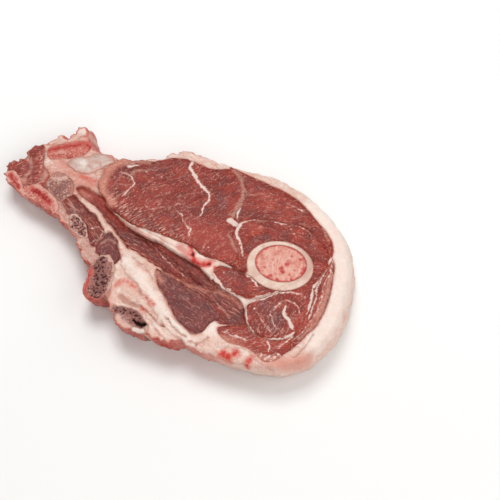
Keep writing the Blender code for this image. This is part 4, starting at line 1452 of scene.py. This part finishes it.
# %% Breast bone
make_piece(
    "breast_bone", sponge_finish, relief=sponge_relief, seam_dip=0.45, pit=0.4,
    pit_zone=(1.8, [(4.5, 13), (9.5, 12.5), (13.5, 10.5), (16.5, 7)]),
    marks=[
        ("dark", (0.5, 0.8), 2.4, [(11.5, 7.5), (13, 5.8), (15, 4.4), (16.5, 5)]),
        ("white", 1.1, -1.0, [(12, 2.3), (14, 1.5), (16, 1.2)]),
        ("dusk", 2.4, 0.0, [(4.5, 13), (9.5, 12.5), (13.5, 10.5), (16.5, 7)]),
        ("pale", 1.6, 0.0, [(4.5, 9), (6.5, 6), (10, 2)]),
        ("blood", 0.2, 0.0, [(2, 8), (5, 3), (9, 0), (14, -1)]),
    ],
)

# %% [markdown]
# ## Tendon, membrane and cartilage
# The tendon is a long wedge that stands clear above the deep muscle; blood has gathered in it near
# the bone, and its thin grooves and small holes are darkened with painted shade. The seam membrane
# is the thin skin beside it, and the cartilage caps the spine with one shallow ring of a crease,
# darkened with painted shade.

# %% Tendon, membrane and cartilage pieces
make_piece(
    "tendon_wedge", tendon_finish, relief=gristle_relief, grain=-36.0, seam_dip=0.7,
    marks=[
        *dots("blood", 0.9, 0.25, [(36.5, 17), (37, 13), (38, 10), (42.5, 7.5), (45, 7.5), (49, 5)]),
        ("blood", 0.2, 0.1, [(36.3, 17), (37, 14), (38.2, 10.5), (41, 8), (46, 7.4)]),
        ("dark", 0.45, 0.5, [(37, 13.5), (37.3, 12.3)]),
        ("dark", 0.3, 0.4, [(44.5, 7.6), (45.5, 7.4)]),
        ("pale", 1.6, 0.0, [(31.5, 17), (36, 12), (40, 9), (46.5, 9)]),
        ("dusk", -0.1, 0.2, [(7.5, 28.5), (15.5, 24), (23, 18), (29.5, 12)]),
        ("dusk", -0.1, 0.2, [(13, 27), (21, 22), (27.5, 18), (33, 15.5)]),
        ("pale", 0.3, 0.0, [(3, 31), (12, 25), (22, 17), (30, 10)]),
    ],
)
make_piece("seam_membrane", tendon_finish, relief=gristle_relief, grain=-40.0,
           seam_dip=0.6)
make_piece(
    "spine_cartilage", gristle_finish, relief=gristle_relief, grain=20.0,
    marks=[("dusk", 0.2, 0.25, [(9.5, 5), (12.5, 2.5), (15.5, 5), (12, 7.5)])],
)

# %% [markdown]
# ## The fat cover
# The largest piece: it is the smooth outer band on the right, the padding round the muscles, and
# the folded, blood-marked sheet towards the breast. Folds are shallow cuts with soft sides, darkened
# with painted shade, and thin slits are painted dark red-brown as shade; blood lies in spots and
# smears along the lower edge.

# %% Fat cover
make_piece(
    "fat_cover", outer_fat, relief=fat_relief, grain=-38.0, radius=3.2, seam_dip=0.8,
    marks=[
        ("dark", -0.1, 0.8, [(109, 16), (106.5, 12), (103, 8), (100.5, 5.5)]),
        ("dark", 0.0, 1.3, [(35, 27.5), (38, 24.5), (40.5, 22), (42, 21)]),
        ("dark", -0.1, 1.2, [(42.5, 25.5), (44, 24), (48, 18.5), (52, 16)]),
        ("dusk", -0.5, 0.9, [(20.5, 58.5), (21, 52), (24, 47), (28.5, 42.5), (30.5, 38)]),
        ("dusk", -0.5, 0.9, [(26, 57), (30.5, 53), (35, 47), (37, 41)]),
        ("dusk", -0.5, 0.9, [(27, 42.5), (33.5, 34.5), (37.5, 28), (44.5, 18), (50.5, 13.5)]),
        ("dusk", 0.9, 1.0, [(21.5, 37), (24, 34), (28, 32.5), (32.5, 30), (34, 29)]),
        ("dusk", 0.5, 0.1, [(53.5, 14), (57, 12), (62.5, 15)]),
        ("dusk", 0.0, 0.4, [(66, 10.5), (71.5, 10.5), (78.5, 9.5), (82, 6), (86, 2), (90.5, 0)]),
        ("dusk", 1.2, 0.3, [(16, 39.5), (15, 36.5), (13.5, 34.5)]),
        ("blood", -0.45, 0.0, [(19, 42.5), (22.5, 45), (26, 43.5), (27.5, 42)]),
        ("pale", 0.8, 0.0, [(17, 41), (21, 43), (26, 42), (30, 38)]),
        *dots("blood", 0.1, 0.0, [(33.5, 36), (35.5, 33.5), (37, 32.5), (32.5, 30)]),
        *dots("blood", 1.4, 0.1, [(71.5, 6), (69, 7.5), (71, 1.5), (73.5, -0.5), (74.5, 7.5)]),
        *dots("blood", 0.9, 0.1, [(80, 3.5), (79, 1.5), (81, 4.5)]),
        *dots("dark", 0.2, 0.3, [(43, 24.5), (55, 14), (57, 11.5), (62, 15.5)]),
        ("shade_and_red_stain", 1.2, 0.0, [(66.5, 2), (70.5, 0), (74.5, -2), (80, -2)]),
        ("pale", 3.4, 0.0, [(90, 4), (95, 2.5), (100, 2.5), (106, 4)]),
        ("shade_and_red_stain", -0.8, 0.0, [(91, 5), (97, 2.5), (103, 3)]),
        ("pale", 1.2, 0.0, [(83, -2), (88.5, -3), (94.5, -2.5), (99, -1), (103, 3.5)]),
        ("pale", 1.5, 0.0, [(15, 40), (17, 33), (30, 20), (44, 11), (58, 5), (70, 3)]),
        ("shade_and_red_stain", 0.6, 0.0, [(13, 36), (17, 28), (30, 17), (44, 8), (56, 3)]),
        ("dusk", -0.3, 0.5, [(32, 28), (37.5, 21), (41.5, 15.5), (48, 11)]),
        ("blood", -0.1, 0.0, [(66.5, 2.5), (70.5, 0.5), (74.5, -1.5)]),
        ("chalk", 4.0, 0.0, [(111, 83), (119, 72), (123, 60), (124, 48), (121, 34), (116, 22),
                             (110, 13)]),
        ("chalk", 2.6, -0.4, [(64.5, 21.5), (62.5, 18), (66.5, 19)]),
        ("chalk", 2.2, -0.5, [(24, 55), (30, 47), (38, 34), (47, 22), (55, 14)]),
    ],
)

# %% [markdown]
# ## Fat of the spine and ribs
# This fat was pulled and sawn together with bone, so it is pinker, with salmon stains by the
# cartilage and greyish strands along the ribs.

# %% Spine and rib fat
make_piece(
    "spine_fat", spine_fat_finish, relief=fat_relief, grain=20.0, radius=2.0, seam_dip=0.8,
    marks=[
        ("pale", 1.6, 0.0, [(8.5, 20.5), (12, 19), (15, 16.5), (19, 16)]),
        ("pale", 2.4, 0.0, [(19, 14), (22.5, 11), (26.5, 7)]),
        ("shade_and_red_stain", 1.0, 0.0, [(20, 13.5), (23.5, 10.5), (26, 8)]),
        ("shade_and_red_stain", 0.4, 0.0, [(11, 21), (15, 18.5)]),
        ("chalk", 1.4, 0.0, [(3, 37), (8, 38), (14, 40), (22, 40)]),
        ("blood", -0.2, 0.0, [(21, 13), (24.5, 11), (28, 9.5)]),
        ("dark", 0.25, 0.8, [(29, 6), (31, 4)]),
    ],
)
make_piece("rib_fat", rib_fat_finish, relief=fat_relief, grain=-50.0, radius=1.6,
           marks=[("pale", 2.0, 0.0, [(3, 25), (6, 15), (9, 6)]),
                  ("white", -0.1, 0.0, [(3, 30), (5, 25), (8, 21)]),
                  ("white", -0.2, 0.0, [(7, 15), (9, 10), (13, 6)]),
                  ("blood", -0.3, 0.0, [(1, 22), (3, 16), (4, 10)])])
print("pieces made:", len(pieces))

# %% [markdown]
# ## Floor
# The chop lies on a plain pale board, a fifth of a millimetre below the underside so that the two
# faces don't flicker. It is a grid of four by four squares, three metres across, in metres.

# %% Floor
FLOOR_HALF = 1.5
FLOOR_DROP = 0.0002
SQUARES = 4
cuts = np.linspace(-FLOOR_HALF, FLOOR_HALF, SQUARES + 1)
first_corners = [r * (SQUARES + 1) + c for r in range(SQUARES) for c in range(SQUARES)]
floor_mesh = bpy.data.meshes.new("floor")
floor_mesh.from_pydata(
    [(x, y, -FLOOR_DROP) for y in cuts for x in cuts],
    [],
    [(c, c + 1, c + SQUARES + 2, c + SQUARES + 1) for c in first_corners],
)
floor = bpy.data.objects.new("floor", floor_mesh)
bpy.context.scene.collection.objects.link(floor)
board = bpy.data.materials.new("pale_matt_board")
board.use_nodes = True
board.node_tree.nodes.clear()
board_cloud = pattern(board.node_tree, add(board.node_tree, "TexCoord").outputs["Object"], 0.3)
board_colour = tinted(board.node_tree, "f4f3f1", "efeeec", board_cloud, 0.4, 0.6)
add(board.node_tree, "OutputMaterial", None, {"Surface": add(
    board.node_tree, "BsdfPrincipled", {"Roughness": 0.8}, {"Base Color": board_colour})})
floor.data.materials.append(board)
floor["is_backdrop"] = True
print("floor:", 2 * FLOOR_HALF, "m across")

# %% [markdown]
# ## Lights
# Large soft lamps, as food is usually shown under, so that nothing hides in a hard shadow: the key
# stands behind and shows the relief, the others fill in from the front and the side, and a white
# room lights the rest. The standard view transform keeps the colours as they were picked.

# %% Lights
LIGHTS = (
    # name, place in m, size in m, strength in W
    ("key", (-0.10, 0.42, 0.95), 0.5, 6.4),
    ("front", (0.15, -0.80, 0.60), 0.9, 3.6),
    ("side", (0.80, -0.10, 0.55), 0.8, 2.5),
)
chop_middle = (CAD_LOW + CAD_HIGH) / 2
for name, place, size, strength in LIGHTS:
    lamp = bpy.data.lights.new(name, "AREA")
    lamp.size = size
    lamp.energy = strength
    light = bpy.data.objects.new(name, lamp)
    light.location = place
    light.rotation_euler = (chop_middle - Vector(place)).to_track_quat("-Z", "Y").to_euler()
    bpy.context.scene.collection.objects.link(light)
world = bpy.data.worlds.new("soft_room")
world.use_nodes = True
world.node_tree.nodes["Background"].inputs["Color"].default_value = linear("ffffff")
world.node_tree.nodes["Background"].inputs["Strength"].default_value = 0.36
bpy.context.scene.world = world
bpy.context.scene.view_settings.view_transform = "Standard"
print("lamps:", len(LIGHTS))

# %% [markdown]
# ## Camera
# It looks down at the chop from 60 degrees above the floor, with a long lens that hardly distorts
# it. It aims at a point on the cut face to the right of the middle, so that the chop lies at the
# left of the picture.

# %% Camera
ELEVATION = math.radians(60.0)
CAMERA_DISTANCE = 0.643
camera = bpy.data.objects.new("camera", bpy.data.cameras.new("camera"))
camera.data.lens = 100.0
camera.data.sensor_width = 36.0
look_at = Vector((0.0351, -0.0064, 0.016))
back = Vector((0.0, -math.cos(ELEVATION), math.sin(ELEVATION)))
camera.location = look_at + back * CAMERA_DISTANCE
camera.rotation_euler = (-back).to_track_quat("-Z", "Y").to_euler()
bpy.context.scene.collection.objects.link(camera)
bpy.context.scene.camera = camera
print(f"camera: {CAMERA_DISTANCE:.2f} m away, {math.degrees(ELEVATION):.0f} degrees up")

# %% [markdown]
# ## Sizes and finish
# The box of the imported solids and the box of the finished pieces are both printed, axis by axis.

# %% Write the sizes and finish
bpy.context.view_layer.update()
low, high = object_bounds()
for name, cad, seen in zip("xyz", CAD_HIGH - CAD_LOW, high - low):
    print(f"{name}: packed {cad / MM:.1f} mm, finished {seen / MM:.1f} mm")
